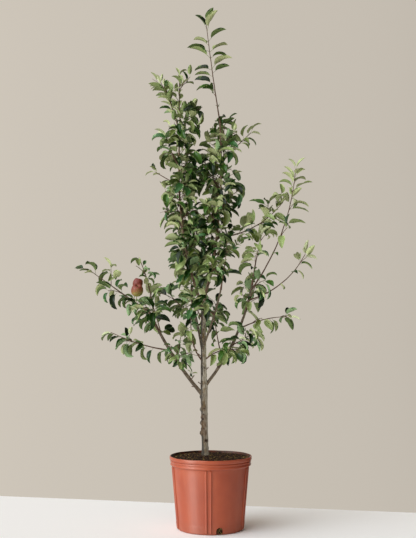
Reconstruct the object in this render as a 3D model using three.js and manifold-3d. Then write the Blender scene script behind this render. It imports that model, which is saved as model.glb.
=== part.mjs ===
// A dwarf apple tree in its nursery pot.
// Millimetres, +Z up. The origin is the centre of the pot's flat underside, +X is to the right
// and -Y is the front. A heading is a turn in plan (0 is +X, 90 is +Y) and a rise above level.
import * as THREE from 'three';
import { mergeVertices } from 'three/addons/utils/BufferGeometryUtils.js';
import Module from 'manifold-3d';

const wasm = await Module();
wasm.setup();

// ---- Driving dimensions ----

const gap = 0.3; // left between pieces that touch

const pot = {
  height: 247,
  lipRadius: 141.5,
  lipDepth: 13,
  lipWidth: 3,
  lipEdge: 1.5,
  bandRadius: 137,
  bandDepth: 34, // from the rim down to the body
  beadDepths: [18, 28],
  beadSize: 1.6,
  bodyRadius: 132.6, // under the band
  baseRadius: 113.5,
  footHeight: 26,
  footSize: 1.8, // how far the foot stands proud of the body
  edgeRadius: 7,
  wall: 2.6,
  floor: 3.4,
  segments: 32,
};

const ribs = { pairs: 5, firstTurn: -93.5, halfSpread: 3.7, width: 7.2, depth: 2.2 };
const drains = { count: 4, firstTurn: -75.5, width: 22, height: 25, inset: 9 };

const soil = { depth: 9, moundHeight: 6, moundRadius: 78, treeRing: 19 };

const trunk = {
  foot: new THREE.Vector3(-18.5, 14, pot.height - soil.depth + soil.moundHeight + gap),
  turn: [180, 180],
  rise: [88.5, 90],
  length: 540,
  sides: 10,
};

// Share of the trunk's length and radius there: root flare, collar under the boughs, slim top.
const trunkTaper = [
  [0, 14], [0.03, 11.8], [0.07, 11.2], [0.3, 11], [0.39, 12], [0.5, 10.4], [0.7, 9.2], [1, 7.4],
];

// Leaders and boughs: where each leaves the limb that carries it, its heading, length and radii.
const limbSpecs = [
  { name: 'right_leader', on: 'trunk', at: 1, turn: [0, 8], rise: [68, 93], ease: 0.5,
    length: 640, radii: [5.4, 2.7] },
  { name: 'left_leader', on: 'trunk', at: 0.955, turn: [180, 172], rise: [60, 94], ease: 0.5,
    length: 655, radii: [4.6, 2.6] },
  { name: 'left_bough', on: 'trunk', at: 0.375, turn: [182, 190], rise: [48, 66],
    length: 350, radii: [6.6, 4.2] },
  { name: 'right_bough', on: 'trunk', at: 0.435, turn: [-4, -12], rise: [50, 79],
    length: 398, radii: [5.8, 3.6] },
  { name: 'front_bough', on: 'trunk', at: 0.7, turn: [-72, -60], rise: [38, 66],
    length: 245, radii: [4.2, 2.9] },
  { name: 'back_bough', on: 'trunk', at: 0.62, turn: [98, 112], rise: [38, 68],
    length: 290, radii: [4.6, 3] },
];

// Masses of foliage that the tree's own shape sets: heading and length of the stem, how far
// twigs and leaves may stray from it, the share of it that is bare at its foot, how far its
// leaves rise or droop, and ranks where they stand in two rows instead of all round.
const massSpecs = [
  { name: 'top_shoot', on: 'right_leader', at: 1, turn: [0, 0], rise: [99, 96.5],
    length: 372, reach: 84, twigs: 0, leaves: 15, droop: [0.15, -0.25], ranks: 2 },
  { name: 'left_fan_upright', on: 'left_leader', at: 1, turn: [180, 180], rise: [86, 92],
    length: 182, reach: 62, twigs: 1, leaves: 10, droop: [0.5, -0.05], ranks: 2 },
  { name: 'left_fan_outer', on: 'left_leader', at: 0.95, turn: [186, 178], rise: [78, 62],
    length: 200, reach: 66, twigs: 2, leaves: 12, bare: 0.25, droop: [0.4, -0.15], ranks: 2 },
  { name: 'upper_left_twig', on: 'left_leader', at: 0.67, turn: [178, 182], rise: [28, 32],
    length: 98, reach: 52, twigs: 0, leaves: 4, bare: 0.5, droop: [0.3, -0.3] },
  { name: 'upper_right_twig', on: 'right_leader', at: 0.77, turn: [-14, 4], rise: [46, 44],
    length: 152, reach: 62, twigs: 0, leaves: 6, bare: 0.4, droop: [0.2, -0.4] },
  { name: 'right_upper_arm', on: 'right_leader', at: 0.35, turn: [-6, -2], rise: [4, 52],
    length: 272, reach: 84, twigs: 3, leaves: 14, bare: 0.2, droop: [0.1, -0.45] },
  { name: 'right_bough_tip', on: 'right_bough', at: 1, turn: [-8, 0], rise: [82, 76],
    length: 178, reach: 80, twigs: 2, leaves: 11 },
  { name: 'right_long_shoot', on: 'right_bough', at: 0.95, turn: [2, 6], rise: [54, 85],
    length: 462, reach: 80, twigs: 2, leaves: 14, bare: 0.45, droop: [0.3, -0.3], ranks: 2 },
  { name: 'right_curved_shoot', on: 'right_bough', at: 0.86, turn: [4, -2], rise: [16, 62],
    length: 262, reach: 66, twigs: 1, leaves: 7, bare: 0.66 },
  { name: 'right_bough_back', on: 'right_bough', at: 0.72, turn: [82, 60], rise: [30, 62],
    length: 180, reach: 88, twigs: 2, leaves: 11 },
  { name: 'right_bough_front', on: 'right_bough', at: 0.78, turn: [-84, -60], rise: [22, 58],
    length: 155, reach: 84, twigs: 2, leaves: 11 },
  { name: 'right_low_arm', on: 'right_bough', at: 0.6, turn: [-14, -4], rise: [26, 2],
    length: 172, reach: 76, twigs: 2, leaves: 8, bare: 0.15 },
  { name: 'right_mid', on: 'right_bough', at: 0.44, turn: [-62, -30], rise: [12, 30],
    length: 92, reach: 72, twigs: 1, leaves: 7 },
  { name: 'right_inner_arm', on: 'trunk', at: 0.605, turn: [-14, -22], rise: [42, -8],
    length: 136, reach: 74, twigs: 1, leaves: 9, bare: 0.45 },
  { name: 'right_inner_shoot', on: 'right_bough', at: 0.28, turn: [150, 170], rise: [74, 84],
    length: 178, reach: 66, twigs: 1, leaves: 6, bare: 0.3 },
  { name: 'left_arm', on: 'left_bough', at: 1, turn: [186, 180], rise: [34, 36],
    length: 248, reach: 80, twigs: 3, leaves: 15, droop: [-0.2, -0.9] },
  { name: 'left_shoot', on: 'left_bough', at: 0.9, turn: [160, 176], rise: [86, 66],
    length: 232, reach: 70, twigs: 2, leaves: 9, bare: 0.3 },
  { name: 'left_low_arm', on: 'left_bough', at: 0.57, turn: [184, 178], rise: [8, 26],
    length: 215, reach: 72, twigs: 1, leaves: 10, bare: 0.12, droop: [-0.5, -1.1] },
  { name: 'left_bough_inner', on: 'left_bough', at: 0.44, turn: [100, 60], rise: [20, 70],
    length: 132, reach: 84, twigs: 1, leaves: 10 },
  { name: 'left_bough_back', on: 'left_bough', at: 0.74, turn: [98, 120], rise: [26, 60],
    length: 180, reach: 88, twigs: 2, leaves: 12 },
  { name: 'left_bough_front', on: 'left_bough', at: 0.8, turn: [-98, -120], rise: [18, 52],
    length: 155, reach: 86, twigs: 2, leaves: 12 },
  { name: 'left_inner_shoot', on: 'trunk', at: 0.59, turn: [192, 200], rise: [-20, 98], ease: 0.2,
    length: 235, reach: 80, twigs: 1, leaves: 10, bare: 0.3 },
  { name: 'trunk_front', on: 'trunk', at: 0.86, turn: [-128, -112], rise: [38, 66],
    length: 96, reach: 70, twigs: 0, leaves: 6 },
  { name: 'front_bough_tip', on: 'front_bough', at: 1, turn: [-60, -50], rise: [70, 84],
    length: 165, reach: 86, twigs: 2, leaves: 12 },
  { name: 'front_bough_side', on: 'front_bough', at: 0.6, turn: [-130, -120], rise: [22, 48],
    length: 135, reach: 80, twigs: 2, leaves: 10 },
  { name: 'back_bough_tip', on: 'back_bough', at: 1, turn: [112, 104], rise: [72, 84],
    length: 175, reach: 88, twigs: 2, leaves: 12 },
  { name: 'back_bough_left', on: 'back_bough', at: 0.72, turn: [158, 144], rise: [20, 52],
    length: 145, reach: 82, twigs: 2, leaves: 10 },
  { name: 'back_bough_right', on: 'back_bough', at: 0.55, turn: [52, 66], rise: [16, 48],
    length: 155, reach: 84, twigs: 2, leaves: 10 },
];

// Short side shoots that wind up both leaders and make the column of foliage.
const columns = [
  { name: 'left_column', on: 'left_leader', count: 7, from: 0.17, to: 0.9, firstTurn: 205, leaves: 18 },
  { name: 'right_column', on: 'right_leader', count: 7, from: 0.12, to: 0.85, firstTurn: -40, leaves: 18 },
];
const columnShoot = { rise: [54, 82], length: 104, reach: 80, twigs: 2 };

const goldenTurn = 137.5;
const stemRadii = [3.4, 2.3];
const twigRadii = [1.5, 1.5];
const twig = {
  length: 62,
  taper: [1.2, 0.6], // share of the length, from the stem's foot to its tip
  vary: [0.8, 1.2],
  angle: [48, 62],
  spinVary: 40,
  lift: 0.25,
  first: 0.12, // share of the stem where twigs begin
  last: 0.88,
  bare: 0.25, // share of the twig without leaves
};
const leaf = {
  length: 73,
  vary: [0.8, 1.15],
  width: 0.5, // share of the length, as are the next two
  widest: 0.47,
  tipShorten: 0.15,
  thickness: 1.5,
  fold: 0.22,
  bend: 34,
  angle: [62, 28], // from the shoot, along it and at its tip
  angleVary: 20,
  droop: [-0.25, -0.7],
  tipLift: 0.45,
  roll: 92,
  spacing: 11,
  rankVary: 70, // degrees that a leaf may stray from its row
};
const clearOfLimb = 6.5;
const clearOfMass = 3.6;
const triesPerLeaf = 24;
const firstSeed = 106;

// Apples on the left arm: where along its stem, offset of the apple's middle and its radius.
const apples = [
  { at: 0.24, offset: new THREE.Vector3(6, -31, 43), radius: 21 },
  { at: 0.29, offset: new THREE.Vector3(16, -2, 62), radius: 17.5 },
];
const appleSides = 8;
const stalkRadius = 1.6;

// ---- Colours ----

const material = (color, roughness) => new THREE.MeshStandardMaterial({ color, roughness, metalness: 0 });
const potMaterial = material(0xa5523c, 0.55);
const soilMaterial = material(0x33241a, 0.95);
const barkMaterial = material(0x7d7266, 0.85);
const foliageMaterial = material(0x3f5f35, 0.6);

// ---- Small tools ----

const up = new THREE.Vector3(0, 0, 1);
const mix = ([from, to], share) => from + (to - from) * share;

// Seeded random numbers from 0 to 1.
function seededRandom(seed) {
  let state = seed >>> 0;
  return () => {
    state = (state + 0x6d2b79f5) >>> 0;
    let value = Math.imul(state ^ (state >>> 15), state | 1);
    value ^= value + Math.imul(value ^ (value >>> 7), value | 61);
    return ((value ^ (value >>> 14)) >>> 0) / 4294967296;
  };
}

function heading(turn, rise) {
  const [plan, tilt] = [turn, rise].map(THREE.MathUtils.degToRad);
  return new THREE.Vector3(Math.cos(tilt) * Math.cos(plan), Math.cos(tilt) * Math.sin(plan), Math.sin(tilt));
}

function solidOf(geometry) {
  geometry.deleteAttribute('normal');
  geometry.deleteAttribute('uv');
  const merged = mergeVertices(geometry, 1e-4);
  return new wasm.Manifold(new wasm.Mesh({
    numProp: 3,
    vertProperties: new Float32Array(merged.attributes.position.array),
    triVerts: new Uint32Array(merged.index.array),
  }));
}

// The largest body of a solid: loose scraps and sealed hollows are left behind.
function mainBody(solid) {
  return solid.decompose().reduce((best, body) => (body.volume() > best.volume() ? body : best));
}

function meshOf(name, solid, surface) {
  const { vertProperties, triVerts } = mainBody(solid).getMesh();
  const geometry = new THREE.BufferGeometry();
  geometry.setAttribute('position', new THREE.BufferAttribute(new Float32Array(vertProperties), 3));
  geometry.setIndex(new THREE.BufferAttribute(new Uint32Array(triVerts), 1));
  const mesh = new THREE.Mesh(geometry, surface);
  mesh.name = name;
  return mesh;
}

function join(solids) {
  return solids.reduce((whole, piece) => whole.add(piece));
}

// ---- Pot ----

// Outer radius of the body at a height, between the foot and the lower bead.
function bodyRadius(height) {
  return mix([pot.baseRadius, pot.bodyRadius], height / (pot.height - pot.bandDepth));
}

// Radius of the cavity at a height: it follows the body, then opens into the band.
function innerRadius(height) {
  const bandFoot = pot.height - pot.bandDepth;
  const share = Math.max(0, (height - bandFoot) / pot.bandDepth);
  return Math.min(bodyRadius(height), pot.bodyRadius) - pot.wall + (pot.bandRadius - pot.bodyRadius) * share;
}

function lathe(profile) {
  const points = profile.map(([radius, height]) => new THREE.Vector2(radius, height));
  return solidOf(new THREE.LatheGeometry(points, pot.segments).rotateX(Math.PI / 2));
}

function potShell() {
  const { height, lipRadius, lipDepth, lipEdge, lipWidth, bandRadius, bandDepth, beadSize } = pot;
  const beadHalf = beadSize * 1.6;
  const beads = [...pot.beadDepths].reverse().flatMap((depth) => [
    [bandRadius, height - depth - beadHalf],
    [bandRadius + beadSize, height - depth],
    [bandRadius, height - depth + beadHalf],
  ]);
  const footTop = bodyRadius(pot.footHeight) + pot.footSize;
  const bodyFoot = pot.footHeight + pot.lipWidth;
  const bodyTop = height - bandDepth - pot.beadSize * 2;
  return lathe([
    [0, 0],
    [pot.baseRadius - pot.edgeRadius, 0],
    [pot.baseRadius - pot.edgeRadius * 0.3, pot.edgeRadius * 0.3],
    [pot.baseRadius + pot.footSize * 0.7, pot.edgeRadius],
    [footTop, pot.footHeight],
    [bodyRadius(bodyFoot), bodyFoot],
    [bodyRadius(bodyTop), bodyTop],
    ...beads,
    [bandRadius, height - lipDepth - lipEdge],
    [lipRadius, height - lipDepth],
    [lipRadius, height - lipEdge],
    [lipRadius - lipEdge, height],
    [lipRadius - lipEdge - lipWidth, height],
    [innerRadius(height - lipDepth + lipEdge), height - lipDepth + lipEdge],
    [innerRadius(height - bandDepth), height - bandDepth],
    [innerRadius(pot.floor), pot.floor],
    [0, pot.floor],
  ]);
}

// A flat bar that leans with the wall at a turn in plan.
function wallBar(turn, width, depth, from, to) {
  const top = bodyRadius(to);
  const foot = bodyRadius(from);
  const sunk = 2;
  const bar = new THREE.BoxGeometry(depth + sunk, width, Math.hypot(to - from, top - foot));
  bar.rotateY(Math.atan2(top - foot, to - from));
  bar.translate((top + foot + depth - sunk) / 2, 0, (from + to) / 2);
  return solidOf(bar.rotateZ(THREE.MathUtils.degToRad(turn)));
}

// An arched opening through the corner of wall and floor.
function drainCut(turn) {
  const arch = new THREE.Shape();
  const half = drains.width / 2;
  const shoulder = drains.height - half * 0.6;
  const below = -4;
  arch.moveTo(-half, below);
  arch.lineTo(half, below);
  arch.lineTo(half, shoulder);
  arch.quadraticCurveTo(half, drains.height, 0, drains.height);
  arch.quadraticCurveTo(-half, drains.height, -half, shoulder);
  const cutter = new THREE.ExtrudeGeometry(arch, { depth: 40, bevelEnabled: false, curveSegments: 3 });
  cutter.rotateX(Math.PI / 2);
  cutter.rotateZ(Math.PI / 2);
  cutter.translate(pot.baseRadius - drains.inset, 0, 0);
  return solidOf(cutter.rotateZ(THREE.MathUtils.degToRad(turn)));
}

function makePot() {
  let shell = potShell();
  const ribTop = pot.height - pot.bandDepth;
  const ribFoot = pot.edgeRadius + ribs.depth;
  for (let pair = 0; pair < ribs.pairs; pair += 1) {
    for (const side of [-1, 1]) {
      const turn = ribs.firstTurn + (pair * 360) / ribs.pairs + side * ribs.halfSpread;
      shell = shell.add(wallBar(turn, ribs.width, ribs.depth, ribFoot, ribTop));
    }
  }
  for (let hole = 0; hole < drains.count; hole += 1) {
    shell = shell.subtract(drainCut(drains.firstTurn + (hole * 360) / drains.count));
  }
  return shell;
}

// ---- Soil ----

function makeSoil() {
  const level = pot.height - soil.depth;
  const bandFoot = pot.height - pot.bandDepth;
  const mound = level + soil.moundHeight;
  return lathe([
    [0, pot.floor + gap],
    [innerRadius(pot.floor) - gap, pot.floor + gap],
    [innerRadius(bandFoot) - gap, bandFoot],
    [innerRadius(level) - gap, level],
    [soil.moundRadius, level + soil.moundHeight * 0.15],
    [soil.treeRing * 2, level + soil.moundHeight * 0.7],
    [soil.treeRing, mound],
    [0, mound],
  ]);
}

// ---- Limbs ----

// The line of a limb: its heading turns evenly (or eased) from the first values to the last.
function limbLine(start, { turn, rise, length, ease = 1 }, steps) {
  const points = [start.clone()];
  for (let i = 0; i < steps; i += 1) {
    const share = ((i + 0.5) / steps) ** ease;
    const stride = heading(mix(turn, share), mix(rise, share)).multiplyScalar(length / steps);
    points.push(points[i].clone().add(stride));
  }
  return new THREE.CatmullRomCurve3(points);
}

// A cylinder wrapped along a line, with its own radius at each ring. grow fattens it all over.
function limbSolid(line, radiusAt, sides, steps, grow = 0) {
  const cylinder = new THREE.CylinderGeometry(1, 1, 1, sides, steps);
  cylinder.deleteAttribute('normal');
  cylinder.deleteAttribute('uv');
  const tube = mergeVertices(cylinder, 1e-4);
  const frames = line.computeFrenetFrames(steps, false);
  const position = tube.attributes.position;
  for (let i = 0; i < position.count; i += 1) {
    const ring = Math.round((position.getY(i) + 0.5) * steps);
    const share = ring / steps;
    const radius = radiusAt(share) + grow;
    const end = (share === 1 ? grow : 0) - (share === 0 ? grow : 0);
    const point = line.getPointAt(share)
      .addScaledVector(frames.tangents[ring], end)
      .addScaledVector(frames.normals[ring], position.getX(i) * radius)
      .addScaledVector(frames.binormals[ring], -position.getZ(i) * radius);
    position.setXYZ(i, point.x, point.y, point.z);
  }
  return solidOf(tube);
}

// Reads a radius off a list of [share, radius] pairs.
function taperAt(taper, share) {
  const next = Math.max(1, taper.findIndex(([at]) => at >= share));
  const [[fromShare, from], [toShare, to]] = [taper[next - 1], taper[next]];
  return mix([from, to], (share - fromShare) / (toShare - fromShare));
}

const limbs = new Map();
const limbSides = 7;
const limbStride = 52;
const rootDepth = 2.5; // how far inside its carrier's end a limb that carries on begins

function startOn(carrier, at) {
  const start = carrier.line.getPointAt(at);
  return at === 1 ? start.addScaledVector(carrier.line.getTangentAt(1), -rootDepth) : start;
}

function addLimb(name, line, radiusAt, sides, steps, carrier) {
  let solid = limbSolid(line, radiusAt, sides, steps);
  if (carrier) {
    solid = solid.subtract(carrier.cutter);
  }
  const cutter = limbSolid(line, radiusAt, sides, steps, gap);
  limbs.set(name, { line, radiusAt, solid, cutter, points: line.getSpacedPoints(steps * 2) });
}

function makeLimbs() {
  const trunkSteps = 16;
  const trunkLine = limbLine(trunk.foot, trunk, trunkSteps);
  addLimb('trunk', trunkLine, (share) => taperAt(trunkTaper, share), trunk.sides, trunkSteps);
  for (const spec of limbSpecs) {
    const carrier = limbs.get(spec.on);
    const steps = Math.ceil(spec.length / limbStride);
    const line = limbLine(startOn(carrier, spec.at), spec, steps);
    addLimb(spec.name, line, (share) => mix(spec.radii, share), limbSides, steps, carrier);
  }
}

// ---- Masses of foliage ----

const stemStride = 58;
const shootSides = 3;

// The side shoots of the leaders, one mass each, a golden turn apart.
function columnSpecs({ name, on, count, from, to, firstTurn, leaves }) {
  return Array.from({ length: count }, (_, i) => {
    const turn = firstTurn + i * goldenTurn;
    const at = mix([from, to], i / (count - 1));
    return { ...columnShoot, name: `${name}_${i + 1}`, on, at, turn: [turn, turn + 12], leaves };
  });
}

function segmentDistance(point, from, to) {
  const line = new THREE.Line3(from, to);
  return line.closestPointToPoint(point, true, new THREE.Vector3()).distanceTo(point);
}

function pathDistance(point, path) {
  let nearest = Infinity;
  for (let i = 1; i < path.length; i += 1) {
    nearest = Math.min(nearest, segmentDistance(point, path[i - 1], path[i]));
  }
  return nearest;
}

// True where a point is inside its mass's reach, nearer to its stem than to any other by the
// measure of their reaches, and clear of every limb.
function inOwnSpace(point, own, masses) {
  const share = pathDistance(point, own.points) / own.spec.reach;
  if (share > 1 || point.z < pot.height) {
    return false;
  }
  for (const other of masses) {
    if (other !== own) {
      const otherShare = pathDistance(point, other.points) / other.spec.reach;
      const between = (own.spec.reach * other.spec.reach) / (own.spec.reach + other.spec.reach);
      if ((otherShare - share) * between < clearOfMass) {
        return false;
      }
    }
  }
  return [...limbs.values()].every((limb) => (
    pathDistance(point, limb.points) > limb.radiusAt(0.5) + clearOfLimb
  ));
}

// A direction that leaves a shoot at an angle, on the side that spin picks.
function sideways(tangent, spin, angle) {
  const across = new THREE.Vector3().crossVectors(tangent, up);
  if (across.lengthSq() < 1e-4) {
    across.set(1, 0, 0);
  }
  across.normalize().applyAxisAngle(tangent, THREE.MathUtils.degToRad(spin));
  const lean = THREE.MathUtils.degToRad(angle);
  return tangent.clone().multiplyScalar(Math.cos(lean)).addScaledVector(across, Math.sin(lean));
}

function growTwigs(mass, masses, random) {
  const { spec, line } = mass;
  const bare = spec.bare ?? twig.first;
  for (let i = 0; i < spec.twigs; i += 1) {
    const at = mix([bare, twig.last], (i + random()) / spec.twigs);
    const spin = i * goldenTurn + twig.spinVary * random();
    const length = twig.length * mix(twig.taper, at) * mix(twig.vary, random());
    const start = line.getPointAt(at);
    const direction = sideways(line.getTangentAt(at), spin, mix(twig.angle, random()));
    direction.addScaledVector(up, twig.lift).normalize();
    const middle = start.clone().addScaledVector(direction, length / 2);
    const end = start.clone().addScaledVector(direction, length);
    if ([middle, end].every((point) => inOwnSpace(point, mass, masses))) {
      const shoot = new THREE.LineCurve3(start, end);
      mass.shoots.push({ line: shoot, radii: twigRadii, steps: 1, bare: twig.bare });
    }
  }
}

// Points of a leaf: its root in the shoot, the two edges, its midrib and its tip.
function leafPoints(root, direction, normal, length) {
  const across = new THREE.Vector3().crossVectors(normal, direction).normalize();
  const middle = root.clone().addScaledVector(direction, length * leaf.widest);
  const tipWay = direction.clone().applyAxisAngle(across, THREE.MathUtils.degToRad(leaf.bend));
  const half = (length * leaf.width) / 2;
  const raise = normal.clone().multiplyScalar(half * leaf.fold * 2);
  return {
    root,
    tip: middle.clone().addScaledVector(tipWay, length * (1 - leaf.widest)),
    left: middle.clone().addScaledVector(across, half).add(raise),
    right: middle.clone().addScaledVector(across, -half).add(raise),
    middle,
    normal,
  };
}

// Points spread over a leaf's outer part, which other leaves keep clear of.
function leafSamples({ root, tip, left, right, middle }) {
  const between = (from, to) => from.clone().lerp(to, 0.5);
  return [tip, left, right, middle, between(middle, tip), between(left, tip), between(right, tip),
    between(root, left), between(root, right)];
}

function leafFits(samples, mass, masses) {
  const crowded = mass.leaves.some((other) => other.samples.some((theirs) => (
    samples.some((sample) => sample.distanceTo(theirs) < leaf.spacing)
  )));
  return !crowded && samples.every((sample) => inOwnSpace(sample, mass, masses));
}

const lastFifth = 0.8;

function growLeaves(mass, masses, random) {
  const { spec, shoots } = mass;
  const droop = spec.droop ?? leaf.droop;
  for (let i = 0; mass.leaves.length < spec.leaves && i < spec.leaves * triesPerLeaf; i += 1) {
    const shoot = shoots[i % shoots.length];
    const at = mix([shoot.bare, 1], Math.sqrt(random()));
    const nearTip = Math.max(0, (at - lastFifth) / (1 - lastFifth));
    const angle = mix(leaf.angle, nearTip) + leaf.angleVary * (random() - 0.5);
    const inRank = 90 + (i * 360) / spec.ranks + leaf.rankVary * (random() - 0.5);
    const direction = sideways(shoot.line.getTangentAt(at), spec.ranks ? inRank : i * goldenTurn, angle);
    direction.addScaledVector(up, mix(droop, random()) + leaf.tipLift * nearTip).normalize();
    const level = new THREE.Vector3().crossVectors(direction, up).normalize();
    const normal = new THREE.Vector3().crossVectors(level, direction).normalize();
    normal.applyAxisAngle(direction, THREE.MathUtils.degToRad(leaf.roll * (random() - 0.5)));
    const length = leaf.length * mix(leaf.vary, random()) * (1 - leaf.tipShorten * nearTip);
    const root = shoot.line.getPointAt(at);
    const points = leafPoints(root, direction, normal, length);
    const samples = leafSamples(points);
    if (leafFits(samples, mass, masses)) {
      mass.leaves.push({ ...points, samples });
    }
  }
}

// An octahedron drawn out into a folded, drooping blade.
function leafSolid({ root, tip, left, right, middle, normal }) {
  const blade = new THREE.OctahedronGeometry(1);
  const places = { x: [root, tip], y: [left, right] };
  const position = blade.attributes.position;
  for (let i = 0; i < position.count; i += 1) {
    const [x, y, z] = [position.getX(i), position.getY(i), position.getZ(i)].map(Math.round);
    let place = middle.clone().addScaledVector(normal, (z * leaf.thickness) / 2);
    if (x !== 0) {
      place = places.x[(x + 1) / 2];
    } else if (y !== 0) {
      place = places.y[(1 - y) / 2];
    }
    position.setXYZ(i, place.x, place.y, place.z);
  }
  return solidOf(blade);
}

// A lathed apple with its stalk end turned to the stem, and the stalk between them.
function appleSolids({ at, offset, radius }, stem) {
  const root = stem.getPointAt(at);
  const middle = root.clone().add(offset);
  const profile = [[0, -0.8], [0.5, -0.95], [0.92, -0.45], [1, 0.15], [0.66, 0.82], [0, 0.62]];
  const outline = profile.map(([out, along]) => new THREE.Vector2(out, along).multiplyScalar(radius));
  const fruit = new THREE.LatheGeometry(outline, appleSides);
  const stalkWay = root.clone().sub(middle).normalize();
  fruit.applyQuaternion(new THREE.Quaternion().setFromUnitVectors(new THREE.Vector3(0, 1, 0), stalkWay));
  fruit.translate(middle.x, middle.y, middle.z);
  const stalkLine = new THREE.CatmullRomCurve3([root, root.clone().lerp(middle, 0.75)]);
  return [solidOf(fruit), limbSolid(stalkLine, () => stalkRadius, 3, 1)];
}

function makeMasses() {
  const specs = [...massSpecs, ...columns.flatMap(columnSpecs)];
  const masses = specs.map((spec) => {
    const steps = Math.max(2, Math.ceil(spec.length / stemStride));
    const line = limbLine(startOn(limbs.get(spec.on), spec.at), spec, steps);
    const stem = { line, radii: stemRadii, steps, bare: spec.bare ?? twig.first };
    return { spec, line, points: line.getSpacedPoints(steps * 2), shoots: [stem], leaves: [] };
  });
  masses.forEach((mass, index) => {
    const random = seededRandom(firstSeed + index * 17);
    growTwigs(mass, masses, random);
    growLeaves(mass, masses, random);
  });
  return masses;
}

function massSolid({ spec, line, shoots, leaves }) {
  const wood = shoots.map((shoot) => (
    limbSolid(shoot.line, (share) => mix(shoot.radii, share), shootSides, shoot.steps)
  ));
  const fruit = spec.name === 'left_arm' ? apples.flatMap((apple) => appleSolids(apple, line)) : [];
  return join([...wood, ...leaves.map(leafSolid), ...fruit]).subtract(limbs.get(spec.on).cutter);
}

// ---- Assembly ----

const tree = new THREE.Group();
tree.name = 'dwarf_apple_tree';
tree.add(meshOf('pot', makePot(), potMaterial));
tree.add(meshOf('soil', makeSoil(), soilMaterial));
makeLimbs();
for (const [name, limb] of limbs) {
  tree.add(meshOf(name, limb.solid, barkMaterial));
}
for (const mass of makeMasses()) {
  tree.add(meshOf(mass.spec.name, massSolid(mass), foliageMaterial));
}

export default tree;
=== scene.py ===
import bpy
import math
import numpy as np
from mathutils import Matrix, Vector, noise


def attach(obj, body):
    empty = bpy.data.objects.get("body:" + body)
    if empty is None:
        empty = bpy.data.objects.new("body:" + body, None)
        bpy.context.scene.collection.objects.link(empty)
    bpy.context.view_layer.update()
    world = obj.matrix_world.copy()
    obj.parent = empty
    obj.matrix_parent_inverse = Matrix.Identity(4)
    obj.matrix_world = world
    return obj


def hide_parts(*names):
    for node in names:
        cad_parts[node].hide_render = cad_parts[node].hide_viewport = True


# A dwarf apple tree in a ribbed nursery pot. Metres, +Z up, with the origin at the centre of the
# pot's flat underside, +X to the right and -Y to the front. A heading is a turn in plan and a rise.
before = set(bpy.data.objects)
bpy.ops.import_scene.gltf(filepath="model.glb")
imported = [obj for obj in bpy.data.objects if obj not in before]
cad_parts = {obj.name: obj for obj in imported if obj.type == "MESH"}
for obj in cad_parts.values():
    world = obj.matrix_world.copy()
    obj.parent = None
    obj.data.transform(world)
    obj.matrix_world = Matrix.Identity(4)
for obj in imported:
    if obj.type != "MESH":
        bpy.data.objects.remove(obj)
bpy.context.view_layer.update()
bpy.ops.object.select_all(action="DESELECT")
print("frame loaded:", len(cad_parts), "nodes")

gap = 0.0003  # between pieces that touch
goldenTurn = 137.5
upward = np.array([0.0, 0.0, 1.0])


# small tools

def mix(pair, share):
    return pair[0] + (pair[1] - pair[0]) * share


def unit(vector):
    return vector / np.linalg.norm(vector)


# seeded numbers from 0 to 1, the same ones as the plant's solids grow by
def seededRandom(seed):
    state = seed & 0xFFFFFFFF

    def draw():
        nonlocal state
        state = (state + 0x6D2B79F5) & 0xFFFFFFFF
        value = (state ^ (state >> 15)) * (state | 1) & 0xFFFFFFFF
        value ^= (value + ((value ^ (value >> 7)) * (value | 61) & 0xFFFFFFFF)) & 0xFFFFFFFF
        return (value ^ (value >> 14)) / 4294967296

    return draw


def heading(turn, rise):
    plan, tilt = math.radians(turn), math.radians(rise)
    return np.array([math.cos(tilt) * math.cos(plan), math.cos(tilt) * math.sin(plan), math.sin(tilt)])


def turnedAbout(vector, axis, degrees):
    angle = math.radians(degrees)
    along = axis * (axis @ vector) * (1 - math.cos(angle))
    return vector * math.cos(angle) + np.cross(axis, vector) * math.sin(angle) + along


# a hex colour as the linear numbers that sockets hold
def paint(code):
    values = [int(code[i:i + 2], 16) / 255 for i in (0, 2, 4)]
    return [v / 12.92 if v <= 0.04045 else ((v + 0.055) / 1.055) ** 2.4 for v in values] + [1.0]


# tools for modelling

def startPiece(name):
    piece = bpy.context.object
    piece.name = name
    piece.data.name = name
    return piece


def editing(on):
    bpy.ops.object.mode_set(mode="EDIT" if on else "OBJECT")


# selects, in edit mode, the vertices, edges or faces that a test picks
def pick(piece, kind, test):
    editing(True)
    bpy.ops.mesh.select_mode(type=kind)
    bpy.ops.mesh.select_all(action="DESELECT")
    editing(False)
    items = {"VERT": piece.data.vertices, "EDGE": piece.data.edges, "FACE": piece.data.polygons}[kind]
    for item in items:
        item.select = test(item)
    editing(True)


def positions(piece):
    flat = np.empty(len(piece.data.vertices) * 3)
    piece.data.vertices.foreach_get("co", flat)
    return flat.reshape(-1, 3)


def setPositions(piece, places):
    piece.data.vertices.foreach_set("co", np.asarray(places, float).ravel())
    piece.data.update()


def addModifier(piece, kind, **values):
    modifier = piece.modifiers.new(kind.title(), kind)
    for key, value in values.items():
        setattr(modifier, key, value)
    return modifier


def applyModifiers(piece):
    bpy.context.view_layer.objects.active = piece
    for modifier in list(piece.modifiers):
        bpy.ops.object.modifier_apply(modifier=modifier.name)


def smoothBy(piece, degrees):
    bpy.ops.object.select_all(action="DESELECT")
    piece.select_set(True)
    bpy.context.view_layer.objects.active = piece
    bpy.ops.object.shade_smooth_by_angle(angle=math.radians(degrees))


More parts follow.
